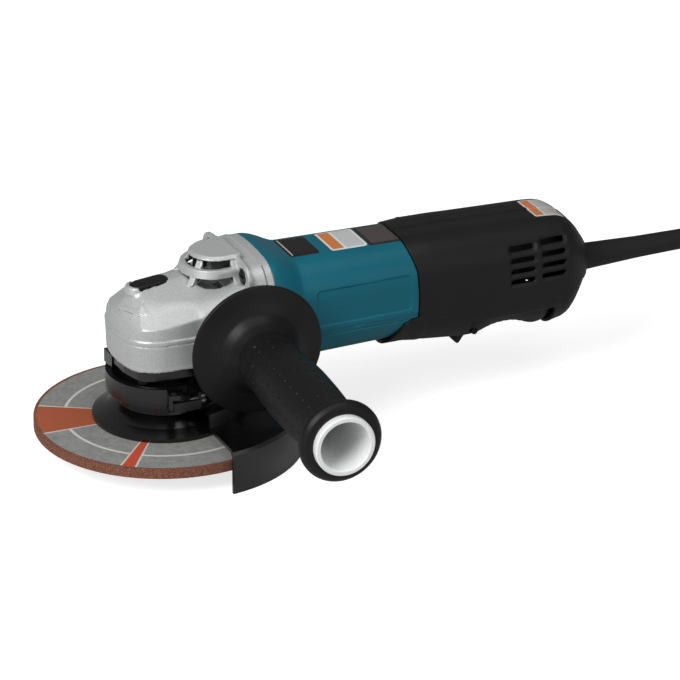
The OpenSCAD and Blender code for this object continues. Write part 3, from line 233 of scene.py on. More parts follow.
def moulded(name, colour, rough, tone=0.12, grain=1500, depth=0.00004, metallic=0.0, fleck=0.06,
            coat=0.0, specular=0.5, cowl_shade=False, plates=()):
    """Moulded or cast surface: slow tone changes, fine grain, light flecks and handling marks."""
    m = Mat(name, metallic=metallic, coat=coat, coat_rough=0.25, specular=specular)
    col = m.mix(m.remap(m.noise(22, 4), 0.3, 0.7, 0, 1), *shades(colour, tone))
    fine = m.noise(grain, 2, 0.6)
    speck = m.remap(fine, 0.35, 0.65, 1 - fleck, 1 + fleck)
    grey = m.node("ShaderNodeCombineColor")
    for k in range(3):
        m.link(speck, grey.inputs[k])
    col = m.mix(1.0, col, grey.outputs[0], "MULTIPLY")
    for x0, x1, half, r, tint in plates:
        col = m.mix(m.plate(x0, x1, half, r), col, lin(tint))
    # painted shade: the inside of the exhaust cowl is darkened to near black
    if cowl_shade:
        col = m.mix(cowl_shade_share(m), col, COWL_SHADE_BLACK)
    m.bump(fine, depth, 0.6)
    m.bump(m.noise(grain * 0.21, 3), depth * 1.6, 0.35)
    marks = m.remap(m.noise(9, 6, 0.65), 0.25, 0.75, rough * 0.86, min(1, rough * 1.16))
    return m.done(col, marks)


def turned(name, colour, rough, streak=(1, 1, 60), scale=120, tone=0.15):
    """Machined metal with fine streaks."""
    m = Mat(name, metallic=1.0)
    lines = m.noise(scale, 4, 0.6, at=m.stretch(*streak))
    col = m.mix(m.remap(lines, 0.3, 0.7, 0, 1), *shades(colour, tone))
    m.bump(lines, 0.00003, 0.5)
    return m.done(col, m.remap(m.noise(40, 4), 0.2, 0.8, rough * 0.75, rough * 1.25))


# the die-cast colour carries painted shade inside the exhaust cowl
SILVER = moulded("die_cast", (196, 198, 198), 0.42, tone=0.06, grain=1700, depth=0.00006,
                 metallic=0.4, fleck=0.13, cowl_shade=True)
TEAL_LOOK = dict(colour=(4, 98, 116), rough=0.42, tone=0.08, grain=2600, depth=0.00003,
                 fleck=0.06, specular=0.28)
TEAL = moulded("teal_plastic", **TEAL_LOOK)
# wordless stickers on top of the motor housing and of the rear housing:
# from x, to x, half width, corner radius (metres), colour
CASE = moulded("teal_case", plates=(
    (0.0725, 0.0915, 0.0132, 0.002, (28, 26, 25)),
    (0.0745, 0.0753, 0.0116, 0.0002, (196, 196, 194)),
    (0.0985, 0.1212, 0.0132, 0.002, (222, 222, 219)),
    (0.0999, 0.1068, 0.0119, 0.0006, (206, 126, 66)),
    (0.1084, 0.1198, 0.0119, 0.0006, (196, 197, 196)),
    (0.1218, 0.1440, 0.0138, 0.0016, (40, 37, 36)),
    (0.1240, 0.1418, 0.0118, 0.0006, (72, 68, 66))), **TEAL_LOOK)
BLACK_LOOK = dict(colour=(19, 19, 19), rough=0.5, specular=0.3, tone=0.14, grain=1500,
                  depth=0.00007, fleck=0.12)
BLACK = moulded("black_plastic", **BLACK_LOOK)
SHELL = moulded("black_shell", plates=(
    (0.2275, 0.2465, 0.0128, 0.002, (206, 202, 196)),
    (0.2288, 0.2338, 0.0114, 0.0006, (204, 122, 72)),
    (0.2354, 0.2452, 0.0114, 0.0006, (184, 182, 178))), **BLACK_LOOK)
GRIP = moulded("grip_plastic", (16, 16, 16), 0.45, specular=0.28, tone=0.12, grain=1300,
               depth=0.00006, fleck=0.12)
WHITE = moulded("white_plastic", (240, 241, 241), 0.4, tone=0.03, grain=900, depth=0.00003)
RUBBER = moulded("rubber", (22, 22, 22), 0.6, specular=0.35, tone=0.15, grain=1100,
                 depth=0.00005, fleck=0.1)
DARK_METAL = moulded("black_metal", (8, 8, 9), 0.24, tone=0.2, grain=700, depth=0.00004,
                     fleck=0.06, coat=0.35)
STEEL = turned("steel", (172, 172, 170), 0.3)
BEARING = turned("bearing_steel", (196, 198, 200), 0.2)
LAMINATION = turned("lamination", (105, 104, 102), 0.45, streak=(400, 1, 1), scale=3)
COPPER = turned("copper", (178, 96, 52), 0.35, streak=(1, 90, 90), scale=14)
CARBON = moulded("carbon", (46, 46, 48), 0.6, grain=1200)
BRASS = turned("brass", (186, 150, 84), 0.3)
BLUE = moulded("filter_blue", (38, 62, 120), 0.4, grain=600)

LABEL_R, RING_R, RING_HALF = 0.0732, 0.0575, 0.0009
SECTORS = ((2.86, 0.25, (176, 84, 46)), (-2.24, 0.05, (205, 72, 40)))  # middle, half angle, tint
SECTOR_EDGE = 0.018  # pale border, in radians
WEAVE = 2600  # radians per metre of the cloth under the paper


def wheel_material():
    """Bonded grit at the rim, paper disc with a ring and two plain sectors on both faces."""
    m = Mat("abrasive", rough=0.85)
    x, y, _ = m.split()
    rad, ang = m.length(x, y), m.math("ARCTAN2", y, x)
    grit = m.node("ShaderNodeTexVoronoi")
    grit.inputs["Scale"].default_value = 900
    m.link(m.xyz, grit.inputs["Vector"])
    speck = m.noise(1400, 3, 0.7)
    rim = m.mix(m.remap(speck, 0.38, 0.62, 0, 1), lin((84, 46, 35)), lin((156, 100, 76)))
    rim = m.mix(m.remap(grit.outputs["Distance"], 0.0, 0.5, 0.55, 0), rim, lin((70, 44, 36)))
    paper = m.mix(m.remap(m.noise(260, 5, 0.7), 0.3, 0.7, 0, 1),
                  lin((128, 128, 126)), lin((158, 158, 155)))
    ring = m.math("LESS_THAN", m.math("ABSOLUTE", m.math("SUBTRACT", rad, RING_R)), RING_HALF)
    paper = m.mix(ring, paper, lin((216, 214, 208)))
    for mid, half, tint in SECTORS:
        off = m.math("ABSOLUTE", m.math("SUBTRACT", ang, mid))
        paper = m.mix(m.math("LESS_THAN", off, half + SECTOR_EDGE), paper, lin((214, 212, 206)))
        paper = m.mix(m.math("LESS_THAN", off, half), paper, lin(tint))
    cloth = m.product(m.math("SINE", m.product(x, WEAVE)), m.math("SINE", m.product(y, WEAVE)))
    paper = m.mix(m.remap(cloth, -1, 1, 0, 0.22), paper, lin((90, 88, 84)))
    col = m.mix(m.math("LESS_THAN", rad, LABEL_R), rim, paper)
    m.bump(speck, 0.0003, 0.8).bump(grit.outputs["Distance"], 0.0003, 0.6)
    return m.done(col)


WHEEL = wheel_material()

# ---------------------------------------------------------------- solids from distance fields
# fields are in mm, below 0 inside the solid

def rmax(a, b, r):
    """Where both fields are inside, with the corner rounded to radius r."""
    return np.minimum(np.maximum(a, b), -r) + np.hypot(np.maximum(a + r, 0), np.maximum(b + r, 0))


def rmin(a, b, r):
    """Where either field is inside, with the inner corner filled to radius r."""
    return -rmax(-a, -b, r)


def box2(u, v, hu, hv, r):
    """Rounded rectangle."""
    qu, qv = np.abs(u) - hu + r, np.abs(v) - hv + r
    return np.minimum(np.maximum(qu, qv), 0) + np.hypot(np.maximum(qu, 0), np.maximum(qv, 0)) - r


def box3(x, y, z, lo, hi, r=0.3):
    """Rounded box between two corners."""
    q = [np.abs(v - (a + b) / 2) - (b - a) / 2 + r for v, a, b in zip((x, y, z), lo, hi)]
    out = np.sqrt(sum(np.maximum(v, 0) ** 2 for v in q))
    return out + np.minimum(np.maximum(np.maximum(q[0], q[1]), q[2]), 0) - r


def slab(v, lo, hi):
    """Between two planes."""
    return np.maximum(lo - v, v - hi)


def ease(x, xs, ys, soft=1.6):
    """Straight pieces through the points, with softened corners."""
    return sum(np.interp(x + d * soft, xs, ys) for d in (-1, -0.5, 0, 0.5, 1)) / 5


def step(v, width):
    """0 below, 1 above, over the width."""
    t = np.clip(v / width + 0.5, 0, 1)
    return t * t * (3 - 2 * t)


def carve(d, *tools):
    """Takes each tool away from d, with sharp edges."""
    for tool in tools:
        d = np.maximum(d, -tool)
    return d


def nets(field, lo, hi, h):
    """Surface-nets mesh of a field, its points moved onto the surface."""
    axes = [np.arange(a, b + h, h) for a, b in zip(lo, hi)]
    x, y, z = axes[0][:, None, None], axes[1][None, :, None], axes[2][None, None, :]
    v = np.broadcast_to(field(x, y, z), [len(a) for a in axes]).astype(np.float32)
    inside = v < 0
    shape = np.array(v.shape) - 1
    count = np.zeros(shape, np.int8)
    for i in (0, 1):
        for j in (0, 1):
            for k in (0, 1):
                count += inside[i:i + shape[0], j:j + shape[1], k:k + shape[2]]
    mixed = (count > 0) & (count < 8)
    number = np.full(shape, -1, np.int64)
    number[mixed] = np.arange(mixed.sum())
    total = int(mixed.sum())
    sums, hits = np.zeros((total, 3)), np.zeros(total)
    quads = []
    for ax in range(3):
        b, c = (ax + 1) % 3, (ax + 2) % 3
        low = [slice(None)] * 3
        top = [slice(None)] * 3
        low[ax], top[ax] = slice(0, -1), slice(1, None)
        cross = inside[tuple(low)] != inside[tuple(top)]
        at = np.argwhere(cross)
        va = v[tuple(at.T)]
        up = at.copy()
        up[:, ax] += 1
        vb = v[tuple(up.T)]
        point = at.astype(float)
        point[:, ax] += va / (va - vb)
        ring, ok = [], np.ones(len(at), bool)
        for db, dc in ((-1, -1), (0, -1), (0, 0), (-1, 0)):
            cell = at.copy()
            cell[:, b] += db
            cell[:, c] += dc
            good = (cell >= 0).all(1) & (cell < shape).all(1)
            ids = np.full(len(at), -1, np.int64)
            ids[good] = number[tuple(cell[good].T)]
            use = ids >= 0
            for k in range(3):
                sums[:, k] += np.bincount(ids[use], point[use, k], total)
            hits += np.bincount(ids[use], minlength=total)
            ring.append(ids)
            ok &= use
        q = np.stack(ring, 1)[ok]
        flip = va[ok] > 0
        q[flip] = q[flip][:, ::-1]
        quads.append(q)
    p = sums / hits[:, None] * h + np.array([a[0] for a in axes])
    faces = np.concatenate(quads)
    for _ in range(2):
        f0, g = field(*p.T), gradient(field, p)
        g2 = np.maximum((g ** 2).sum(1), 0.05)
        move = -(f0 / g2)[:, None] * g
        size = np.maximum(np.linalg.norm(move, axis=1), 1e-9)
        p += move * np.minimum(1, 0.6 * h / size)[:, None]
    n = gradient(field, p)
    n /= np.maximum(np.linalg.norm(n, axis=1), 1e-9)[:, None]
    return p, faces, n


def gradient(field, p, e=0.12):
    """Slope of the field at the points p."""
    out = np.empty_like(p)
    for k in range(3):
        d = np.zeros(3)
        d[k] = e
        out[:, k] = (field(*(p + d).T) - field(*(p - d).T)) / (2 * e)
    return out


def mesh_of(name, verts, faces, normals=None):
    """Mesh object from points in mm."""
    me = bpy.data.meshes.new(name)
    faces = np.asarray(faces)
    me.vertices.add(len(verts))
    me.vertices.foreach_set("co", (np.asarray(verts) * MM).astype(np.float32).ravel())
    k = faces.shape[1]
    me.loops.add(faces.size)
    me.loops.foreach_set("vertex_index", faces.astype(np.int32).ravel())
    me.polygons.add(len(faces))
    me.polygons.foreach_set("loop_start", np.arange(0, faces.size, k, dtype=np.int32))
    me.polygons.foreach_set("use_smooth", np.ones(len(faces), bool))
    me.update(calc_edges=True)
    me.validate()
    if normals is not None and len(me.vertices) == len(normals):
        me.normals_split_custom_set_from_vertices(normals.astype(np.float32))
    obj = bpy.data.objects.new(name, me)
    SCENE.collection.objects.link(obj)
    return obj


def dress(obj, body, mat, slot, *nodes):
    """Gives a piece its material and body, and hides the CAD nodes that it stands for; slot is not
    used.
    """
    obj.data.materials.append(mat)
    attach(obj, body)
    if nodes:
        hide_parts(*nodes)
    return obj


def solid(name, field, lo, hi, h, body, mat, slot, *nodes):
    """Piece from a field between the corners lo and hi, on a grid of h mm."""
    p, faces, n = nets(field, lo, hi, h)
    return dress(mesh_of(name, p, faces, n), body, mat, slot, *nodes)


def lathe(name, profile, pitch, steps, warp, place, body, mat, slot, *nodes):
    """Solid of revolution from a closed (radius, height) outline, with a point each pitch mm.

    warp gives what is added to the radius, place moves (x, y, h) into the frame."""
    pts = []
    for (r0, h0), (r1, h1) in zip(profile, profile[1:] + profile[:1]):
        n = max(1, int(math.hypot(r1 - r0, h1 - h0) / pitch))
        pts += [(r0 + (r1 - r0) * k / n, h0 + (h1 - h0) * k / n) for k in range(n)]
    pts = np.array(pts)
    a = np.linspace(0, 2 * math.pi, steps, endpoint=False)
    r = np.repeat(pts[:, 0][:, None], steps, 1)
    hgt = np.repeat(pts[:, 1][:, None], steps, 1)
    ang = np.repeat(a[None, :], len(pts), 0)
    r = r + warp(r, ang, hgt)
    v = place(np.stack([r * np.cos(ang), r * np.sin(ang), hgt], 2).reshape(-1, 3))
    i = np.arange(len(pts))[:, None] * steps
    j = np.arange(steps)[None, :]
    i2 = (np.arange(len(pts))[:, None] + 1) % len(pts) * steps
    j2 = (j + 1) % steps
    faces = np.stack([i + j, i + j2, i2 + j2, i2 + j], 2).reshape(-1, 4)
    obj = mesh_of(name, v, faces)
    obj.data.set_sharp_from_angle(angle=math.radians(32))
    return dress(obj, body, mat, slot, *nodes)


def rounded(profile, radius, sides=4):
    """Outline with each corner rounded, as far as its edges allow."""
    out = []
    n = len(profile)
    for k in range(n):
        p, a, b = (np.array(profile[i % n], float) for i in (k, k - 1, k + 1))
        u, w = a - p, b - p
        lu, lw = np.linalg.norm(u), np.linalg.norm(w)
        r = min(radius, lu * 0.4, lw * 0.4)
        s, e = p + u / lu * r, p + w / lw * r
        for t in np.linspace(0, 1, sides + 1):
            out.append(tuple((1 - t) ** 2 * s + 2 * t * (1 - t) * p + t * t * e))
    return out


# ---------------------------------------------------------------- cord, first

CORD_R, CORD_Z, FLOOR_LAY = 4.0, 56.5, -8.4
# from the guard's tip down to the floor
PATH = [(352, 0, CORD_Z), (362, 0, 56.2), (372, 0, 54.2), (381, 0, 50.2), (389, 0, 44.2),
        (396, 0, 36.4), (402, 0, 27.6), (408, 0, 18.8), (415, 0, 10.2), (423, 0, 2.6),
        (432, 0, -3.2), (442, 0, -7.0), (450, 0, FLOOR_LAY), (458, 0, FLOOR_LAY),
        (472, 0, FLOOR_LAY)]
COIL_C = (486.5, 50.0)
# (radius, height) of each turn, in the order in which the cord takes them
CELLS = [(50, FLOOR_LAY), (42, FLOOR_LAY), (42, -0.4), (50, -0.4),
         (50, 7.6), (42, 7.6), (42, 15.6), (50, 15.6)]
# points on one turn, points before the first change of cell, points from change to change,
# points that a change takes, points in all
PER_TURN, FIRST, EVERY, CROSS, POINTS = 40, 33, 34, 7, 262
# from the coil up to the plug
RISE = [(463.6, 94.4, 17.0), (457.1, 90.3, 19.6), (450.8, 84.6, 23.0), (445.7, 78.0, 26.4),
        (442.2, 72.0, 28.1), (440.5, 67.0, 28.4)]


def cord_route():
    """Centreline from the guard's tip, down to the floor, round the coil and up to the plug."""
    out = [np.array(p, float) for p in PATH]
    for k in range(POINTS):
        n = 0 if k < FIRST else (k - FIRST) // EVERY + 1
        t = 1.0 if n == 0 else min(1.0, (k - FIRST - EVERY * (n - 1)) / CROSS)
        t = t * t * (3 - 2 * t)
        n = min(n, len(CELLS) - 1)
        was, now = CELLS[max(0, n - 1)], CELLS[n]
        r, z = (u + (v - u) * t for u, v in zip(was, now))
        a = 2 * math.pi * k / PER_TURN - math.pi / 2
        out.append(np.array((COIL_C[0] + r * math.cos(a), COIL_C[1] + r * math.sin(a), z)))
    return np.array(out + [np.array(p) for p in RISE])


def finer(p, n=3):
    """Catmull-Rom points through p."""
    q = np.vstack([2 * p[0] - p[1], p, 2 * p[-1] - p[-2]])
    out = []
    for i in range(1, len(q) - 2):
        for k in range(n):
            t = k / n
            a, b, c, d = q[i - 1:i + 3]
            out.append(0.5 * (2 * b + (c - a) * t + (2 * a - 5 * b + 4 * c - d) * t * t
                              + (3 * b - a - 3 * c + d) * t ** 3))
    return np.array(out + [p[-1]])


def tube(p, radius, sides):
    """Points and faces of a closed tube along the points p, which start along X."""
    tan = np.gradient(p, axis=0)
    tan /= np.linalg.norm(tan, axis=1)[:, None]
    side = np.cross(tan[0], (0, 1, 0))
    a = np.linspace(0, 2 * math.pi, sides, endpoint=False)[:, None]
    rings = []
    for q, t in zip(p, tan):
        side = side - t * side.dot(t)
        side /= np.linalg.norm(side)
        other = np.cross(t, side)
        rings.append(q + radius * (np.cos(a) * side + np.sin(a) * other))
    v = np.concatenate(rings + [p[:1], p[-1:]])
    n = len(p)
    i = np.arange(n - 1)[:, None] * sides
    j = np.arange(sides)
    k = (j + 1) % sides
    quads = np.stack([i + j, i + sides + j, i + sides + k, i + k], 2).reshape(-1, 4)
    base, c0 = (n - 1) * sides, n * sides
    ends = [(c0, a, b) for a, b in zip(j, k)] + [(c0 + 1, base + b, base + a) for a, b in zip(j, k)]
    return v, [tuple(q) for q in quads] + ends


def poly(name, verts, faces):
    """Mesh object from points in mm and faces of any number of corners."""
    me = bpy.data.meshes.new(name)
    me.from_pydata([tuple(v * MM) for v in np.asarray(verts)], [],
                   [tuple(int(i) for i in f) for f in faces])
    me.polygons.foreach_set("use_smooth", [True] * len(me.polygons))
    me.update()
    obj = bpy.data.objects.new(name, me)
    SCENE.collection.objects.link(obj)
    return obj


ROUTE = finer(cord_route())
cord = dress(poly("power_cord", *tube(ROUTE, CORD_R, 20)), "housing", RUBBER, "rubber",
             "cord", "cord_coil")

PLUG_X, PLUG_Z = RISE[-1][0], RISE[-1][2]
PLUG_FACE, PLUG_BACK = 33, 66.8
PLUG_Y = (33, 38, 46, 56, 61, 67)
PLUG_HALF = (11.6, 12, 11.2, 9.6, 7.4, 5.4)
PLUG_TALL = (8.1, 8.5, 8.3, 7.6, 6.6, 5.4)


def plug_field(x, y, z):
    """Moulded two-blade plug that narrows toward its cord, with grip grooves."""
    x, z = x - PLUG_X, z - PLUG_Z
    d = box2(x, z, ease(y, PLUG_Y, PLUG_HALF, 1.2), ease(y, PLUG_Y, PLUG_TALL, 1.2), 4.6)
    d = rmax(d, slab(y, PLUG_FACE, PLUG_BACK), 1.2)
    groove = np.abs((y - 42) % 3.2 - 1.6) - 0.55
    wall = np.where((y > 43) & (y < 55), step(0.7 - np.abs(groove), 0.5), 0)
    return d + 0.45 * wall * step(np.abs(x) - 5.5, 2)


plug = solid("plug", plug_field, (427, 32, 18), (454, 68, 38.5), 0.55, "housing", RUBBER,
             "rubber", "plug_body")

# ---------------------------------------------------------------- gear head

JOINT_Z, MOTOR_Z = 45.4, 64.0  # seat on the bearing box, motor's axis
SEAM_X = 54.9                  # where the motor housing begins
CROWN = 0.0032                 # how far the top falls toward its sides, per mm squared
NOSE_X, NOSE_R = 41, 72        # arc of the head's front, seen from above
CREST_X = (-21, -17.5, -8, 2, 12, 38)
CREST_Z = (86.4, 87.6, 89.2, 90.3, 90.9, 91)
SLOPE_Z = (66, 69, 74, 79, 83, 86.5, 92)
SLOPE_IN = (0, -0.8, -1.7, -4.2, -7.4, -11.2, -18)
COWL_X, CAP_X, COWL_END = 30.5, 32.1, 35.2  # centres of the cowl's and its cap's round, end
HANDLE = Vector((38, -41, 58))              # mouth of the side handle's hole
HANDLE_TURN = math.radians(2.7)
BOSS_Y, BOSS_DZ = 24, 29                    # screws between head and motor housing
PIN_X, PIN_BORE = -12.2, 2.9                # shaft lock pin


def head_plan(x, y):
    """Outline of the head, seen from above."""
    side = (np.abs(y) - 30 - 0.06 * (x + 25)) / 1.002
    return rmax(side, np.hypot(x - NOSE_X, y) - NOSE_R, 12)


def rear_block(x, y, z):
    """From the head down and out to the motor's width."""
    xs = (12, 39.4)
    top, low = np.interp(x, xs, (80.5, 89.5)), np.interp(x, xs, (JOINT_Z, 29.7))
    half = np.interp(x, xs, (31.8, 33))
    return rmax(box2(y, z - (top + low) / 2, half, (top - low) / 2, 12) * 0.9, slab(x, 12, 53), 2)


def dome(x, y, z):
    """Crown of the gear head: roof of two shallow faces, steep sides, rounded front slope."""
    ay = np.abs(y)
    side = -0.15 * (x + 8.5) + 0.69 * (ay - 31) + 0.705 * (z - 71.2)
    front = (np.hypot(x - NOSE_X, y) - NOSE_R - ease(z, SLOPE_Z, SLOPE_IN, 1.2)) * 0.72
    corner = -0.554 * (x + 23.4) + 0.394 * (ay - 16) + 0.733 * (z - 76.3) - 0.3
    crest = ease(x, CREST_X, CREST_Z, 2)
    roof = (z - crest + 0.48 * (np.hypot(np.maximum(ay - 3, 0), 2) - 2)) * 0.9
    body = rmax(rmax(rmax(side, front, 2.0), corner, 4.0), roof, 1.1)
    body = rmax(body, head_plan(x, y) + 0.9, 0.5)
    return rmax(body, slab(x, -60, 40), 0.5)


def arrow(x, y, z):
    """Curved arrow for the spindle's turning sense, cast on the front slope."""
    u, v = y + 10.5, (z - 78.6) / 0.85
    r = np.hypot(u, v + 30)
    shaft = np.maximum(np.abs(r - 29.8) - 1.3, slab(u, -3.5, 9.5))
    head = np.maximum(slab(u, -9.5, -3.2), np.abs(v + 0.1 * u + 0.6) - (u + 9.5) * 0.8)
    return np.minimum(shaft, head)


def stadium(x, y, centre):
    """Distance from a ray that runs from the centre along +X."""
    return np.hypot(np.minimum(x - centre, 0), y)


# of each storey: heights, centre, radius inside, radius on top, slope and half width of its fins
FINS = ((87.5, 92.4, COWL_X, 13.0, 19.0, 0.85, 2.0),
        (95.6, 101.6, CAP_X, 8.6, 13.6, 0.75, 2.1))
FIN_TURNS = (148, 212)


def cowl(x, y, z):
    """Two visors over the exhaust slots, held up by fins."""
    ay = np.abs(y)
    out, top = stadium(x, y, COWL_X), stadium(x, y, CAP_X)
    base = rmax(out - 18.2, slab(z, 80, 84), 0.4)
    lip = rmax(out - 20.1 + 0.34 * (z - 91.6), slab(z, 91.6, 96.3), 0.35)
    cap = rmax(top - 15.4 + 1.15 * np.maximum(z - 101.3, 0), slab(z, 100.5, 102.95), 0.25)
    cheek = rmax(ay * 0.86 + 0.5 * (z - 91.5) - 17.3, slab(x, COWL_END, 41), 0.5)
    cheek = rmax(cheek, slab(z, 80, 102.6), 0.5)
    d = carve(np.minimum(np.minimum(base, lip), cap),
              np.maximum(out - 15.2, slab(z, 70, 98)),
              np.maximum(top - 13.2, slab(z, 95, 101.2)))
    rib = np.maximum(np.maximum(ay - 0.9, slab(x, 18.5, 37)), slab(z, 84, 101.3))
    d = np.minimum(d, rib)
    for z0, z1, c0, r_in, r_top, run, wide in FINS:
        for a in FIN_TURNS:
            ca, sa = math.cos(math.radians(a)), math.sin(math.radians(a))
            along, across = (x - c0) * ca + y * sa, np.abs(-(x - c0) * sa + y * ca)
            fin = rmax((along - r_top - run * (z1 - z)) * 0.76, across - wide, 0.3)
            d = np.minimum(d, rmax(fin, np.maximum(slab(z, z0, z1), r_in - along), 0.2))
    inner = rmax(rmax(ay - 10.5, slab(x, 24, 41), 0.5), slab(z, 80, 101.2), 0.5)
    return np.maximum(rmin(d, cheek, 0.4), np.maximum(x - 42, -inner))


BUTTON_X, BUTTON_HALF, BUTTON_R, BUTTON_TOP = -8.6, 5.2, 5.6, 89.9


def oval(x, y, grow=0.0):
    """Outline of the lock button."""
    return np.hypot(np.maximum(np.abs(x - BUTTON_X) - BUTTON_HALF, 0), y) - BUTTON_R - grow


def gear_head(x, y, z):
    """Die-cast head with its cowl, handle pads, screw seats, and room for what it holds."""
    plan = head_plan(x, y)
    wall = rmax(plan + 0.055 * (MOTOR_Z - z), slab(z, JOINT_Z, MOTOR_Z + 0.5), 0.8)
    wall = rmax(wall, x - 38, 0.5)
    groove, foot = np.hypot(plan + 0.12, z - 61.6) - 0.5, np.hypot(plan + 1.05, z - 47.8) - 0.45
    wall = rmax(rmax(wall, -groove, 0.25), -foot, 0.25)
    d = rmin(wall, dome(x, y, z), 0.5)
    d = rmin(d, rear_block(x, y, z), 4)
    d = d - 0.6 * step(-arrow(x, y, z), 0.5) * step(-x - 17, 3) * step(z - 70, 2)
    nose = rmax(np.hypot(x + 15.6, y) - 6.6 - 0.3 * (88.6 - z), slab(z, 84, 88.7), 0.9)
    d = rmin(d, rmax(nose, x + 16.6, 0.8), 1.5)
    # flange plate and collars
    zc = z - MOTOR_Z + CROWN * y * y * step(z - 78, 24)
    corner = np.where(z > MOTOR_Z, 7.5, 15)
    plate = rmax(box2(y, zc, 34.3, 38.9, corner), slab(x, 38.4, 40.6), 0.4)
    c1 = rmax(box2(y, zc, 33.2 + 0.1 * (x - 42), 36.0 + 0.1 * (x - 42), 12), slab(x, 39, 50), 0.6)
    c2 = rmax(box2(y, zc, 34.5, 36.8, 15), slab(x, 48.4, SEAM_X), 0.4)
    rib = rmax(box2(y, zc, 34.0, 35.9, 15), slab(x, 44.6, 45.8), 0.4)
    d = rmin(rmin(d, plate, 0.7), np.minimum(c1, c2), 0.5)
    d = np.minimum(d, rib)
    # exhaust cowl, with the roof hollowed under it
    under = np.maximum(stadium(x, y, COWL_X) - 18.6, x - COWL_END)
    d = rmax(d, -np.maximum(under, slab(z, 78, 92)), 0.4)
    d = rmin(d, cowl(x, y, z), 0.6)
    for side in (-1, 1):
        # pad and hole of the side handle
        ca, sa = math.cos(HANDLE_TURN), math.sin(HANDLE_TURN) * side
        px, py = x - HANDLE.x, y + side * HANDLE.y
        along = (px * -sa + py * ca) * side
        across = np.hypot(px * ca + py * sa, z - HANDLE.z)
        pad = rmax(across - 10 - 0.06 * np.abs(along), slab(along, -16, 0), 0.5)
        d = carve(rmin(d, pad, 2.5), np.maximum(across - 5.0, slab(along, -20, 1)))
        # seats and bores of the screws
        for dz in (-BOSS_DZ, BOSS_DZ):
            rad = np.hypot(y - side * BOSS_Y, z - MOTOR_Z - dz)
            d = rmax(d, -np.maximum(rad - 4.9, slab(x, 20, 41.4)), 0.4)
            d = carve(d, np.maximum(rad - 2.2, slab(x, 20, 60)))
    rad = np.hypot(x, y)
    d = carve(d, rmax(slab(z, 0, JOINT_Z), x - 33.4, 0.2),             # below the joint
              np.maximum(rad - 27.7, slab(z, 40, 53.2)),               # bearing box's neck
              np.maximum(rad - 17, slab(z, 40, 68)),                   # bevel gear
              box3(x, y, z, (0, -9, 55), (34, 9, 73), 0.5),            # pinion
              np.maximum(rad - 8.2, slab(z, 60, 76)),                  # upper bearing
              np.maximum(np.hypot(x - PIN_X, y) - PIN_BORE, slab(z, 44, 99)))
    d = rmax(d, -np.maximum(oval(x, y, 0.45), slab(z, 78.2, 120)), 0.25)
    return carve(d, np.maximum(np.hypot(y, z - MOTOR_Z) - 15.05, slab(x, 32.9, 42)),
                 np.maximum(box2(y, zc, 31.2, 32.6, 12), slab(x, 47, 60)),
                 box3(x, y, z, (27.9, -13, 80), (50, 13, 94), 1))      # air's way to the cowl


solid("gear_head", gear_head, (-36, -44, 27), (56, 44, 104), 0.78, "housing", SILVER, "die_cast",
      "gear_housing")


def button(x, y, z):
    """Lock button with a crowned, sloping top."""
    crown = z - BUTTON_TOP - 0.09 * (x - BUTTON_X) + 0.012 * y * y
    return rmax(oval(x, y), np.maximum(crown, 85.8 - z), 1.1)


solid("lock_button_cap", button, (-21, -7, 85), (4, 7, 91), 0.4, "shaft_lock", BLACK,
      "black_plastic", "lock_button")

# ---------------------------------------------------------------- motor housing

BODY_X = (54.9, 58.4, 62, 65.9, 69.9, 73.8, 78, 144)
BODY_HALF = (34.6, 34.5, 34.1, 33.5, 32.4, 31.1, 30.95, 30)
BODY_RISE = (36.8, 36.4, 35.4, 33.8, 32.0, 31.1, 30.95, 30)
BODY_R = (15, 15.4, 16.3, 17.6, 19.6, 21.6, 22, 22)
EDGE_Z = (34, 42, 48, 49.2, 51, 64, 80, 90, 96)
EDGE_X = (128, 133.5, 137, 138.5, 145.6, 146, 145, 142.5, 141)
WALL = 2.6
BULKHEAD_X = 141
SEAT_R = 11.05  # rear motor bearing


def motor_form(x, y, z, inset=0.0):
    """Outer form of the motor housing, endless along X, drawn in by the inset."""
    xx = np.maximum(x, SEAM_X + 1.0)
    half, rise, r = (ease(xx, BODY_X, v, 1.2) - inset for v in (BODY_HALF, BODY_RISE, BODY_R))
    crown = np.interp(xx, (SEAM_X, 80), (CROWN, 0.0))
    return box2(y, z - MOTOR_Z + crown * y * y * step(z - 78, 24), half, rise, r)


def rear_edge(z):
    """X of the line where the black housing begins."""
    return np.interp(z, EDGE_Z, EDGE_X)


def motor_case(x, y, z):
    """Teal housing with its side panels and grooves, screw bosses and rear bearing seat."""
    d = motor_form(x, y, z)
    panel = rmax(slab(x, 82, 141), slab(z, 56.7, 77.9), 2.2)
    d = d + 0.75 * step(-panel, 1.0)
    for zz in (53.4, 50.6):
        line = np.maximum(np.abs(z - zz) - 0.35, slab(x, 80, 150))
        d = d + 0.3 * step(-line, 0.5)
    d = rmax(d, slab(x, SEAM_X + 0.05, 200), 0.5)
    d = rmax(d, x - rear_edge(z), 0.5)
    d = carve(d, np.maximum(motor_form(x, y, z, WALL), x - BULKHEAD_X))
    for side in (-1, 1):
        for dz in (-BOSS_DZ, BOSS_DZ):
            rad = np.hypot(y - side * BOSS_Y, z - MOTOR_Z - dz)
            boss = np.maximum(np.maximum(rad - 4.2, slab(x, 55.2, 63)), motor_form(x, y, z, 0.7))
            d = carve(np.minimum(d, boss), np.maximum(rad - 2.12, slab(x, 50, 62.5)))
    rad = np.hypot(y, z - MOTOR_Z)
    for r, x0, x1 in ((14, 142, 155), (25, BULKHEAD_X, 144)):
        d = np.minimum(d, np.maximum(slab(rad, SEAT_R, r), slab(x, x0, x1)))
    return carve(d, np.maximum(rad - 9, slab(x, 120, 170)))


solid("motor_case", motor_case, (53, -36, 26), (156, 36, 102), 0.82, "housing", CASE,
      "teal_plastic", "motor_housing")

# ---------------------------------------------------------------- rear housing

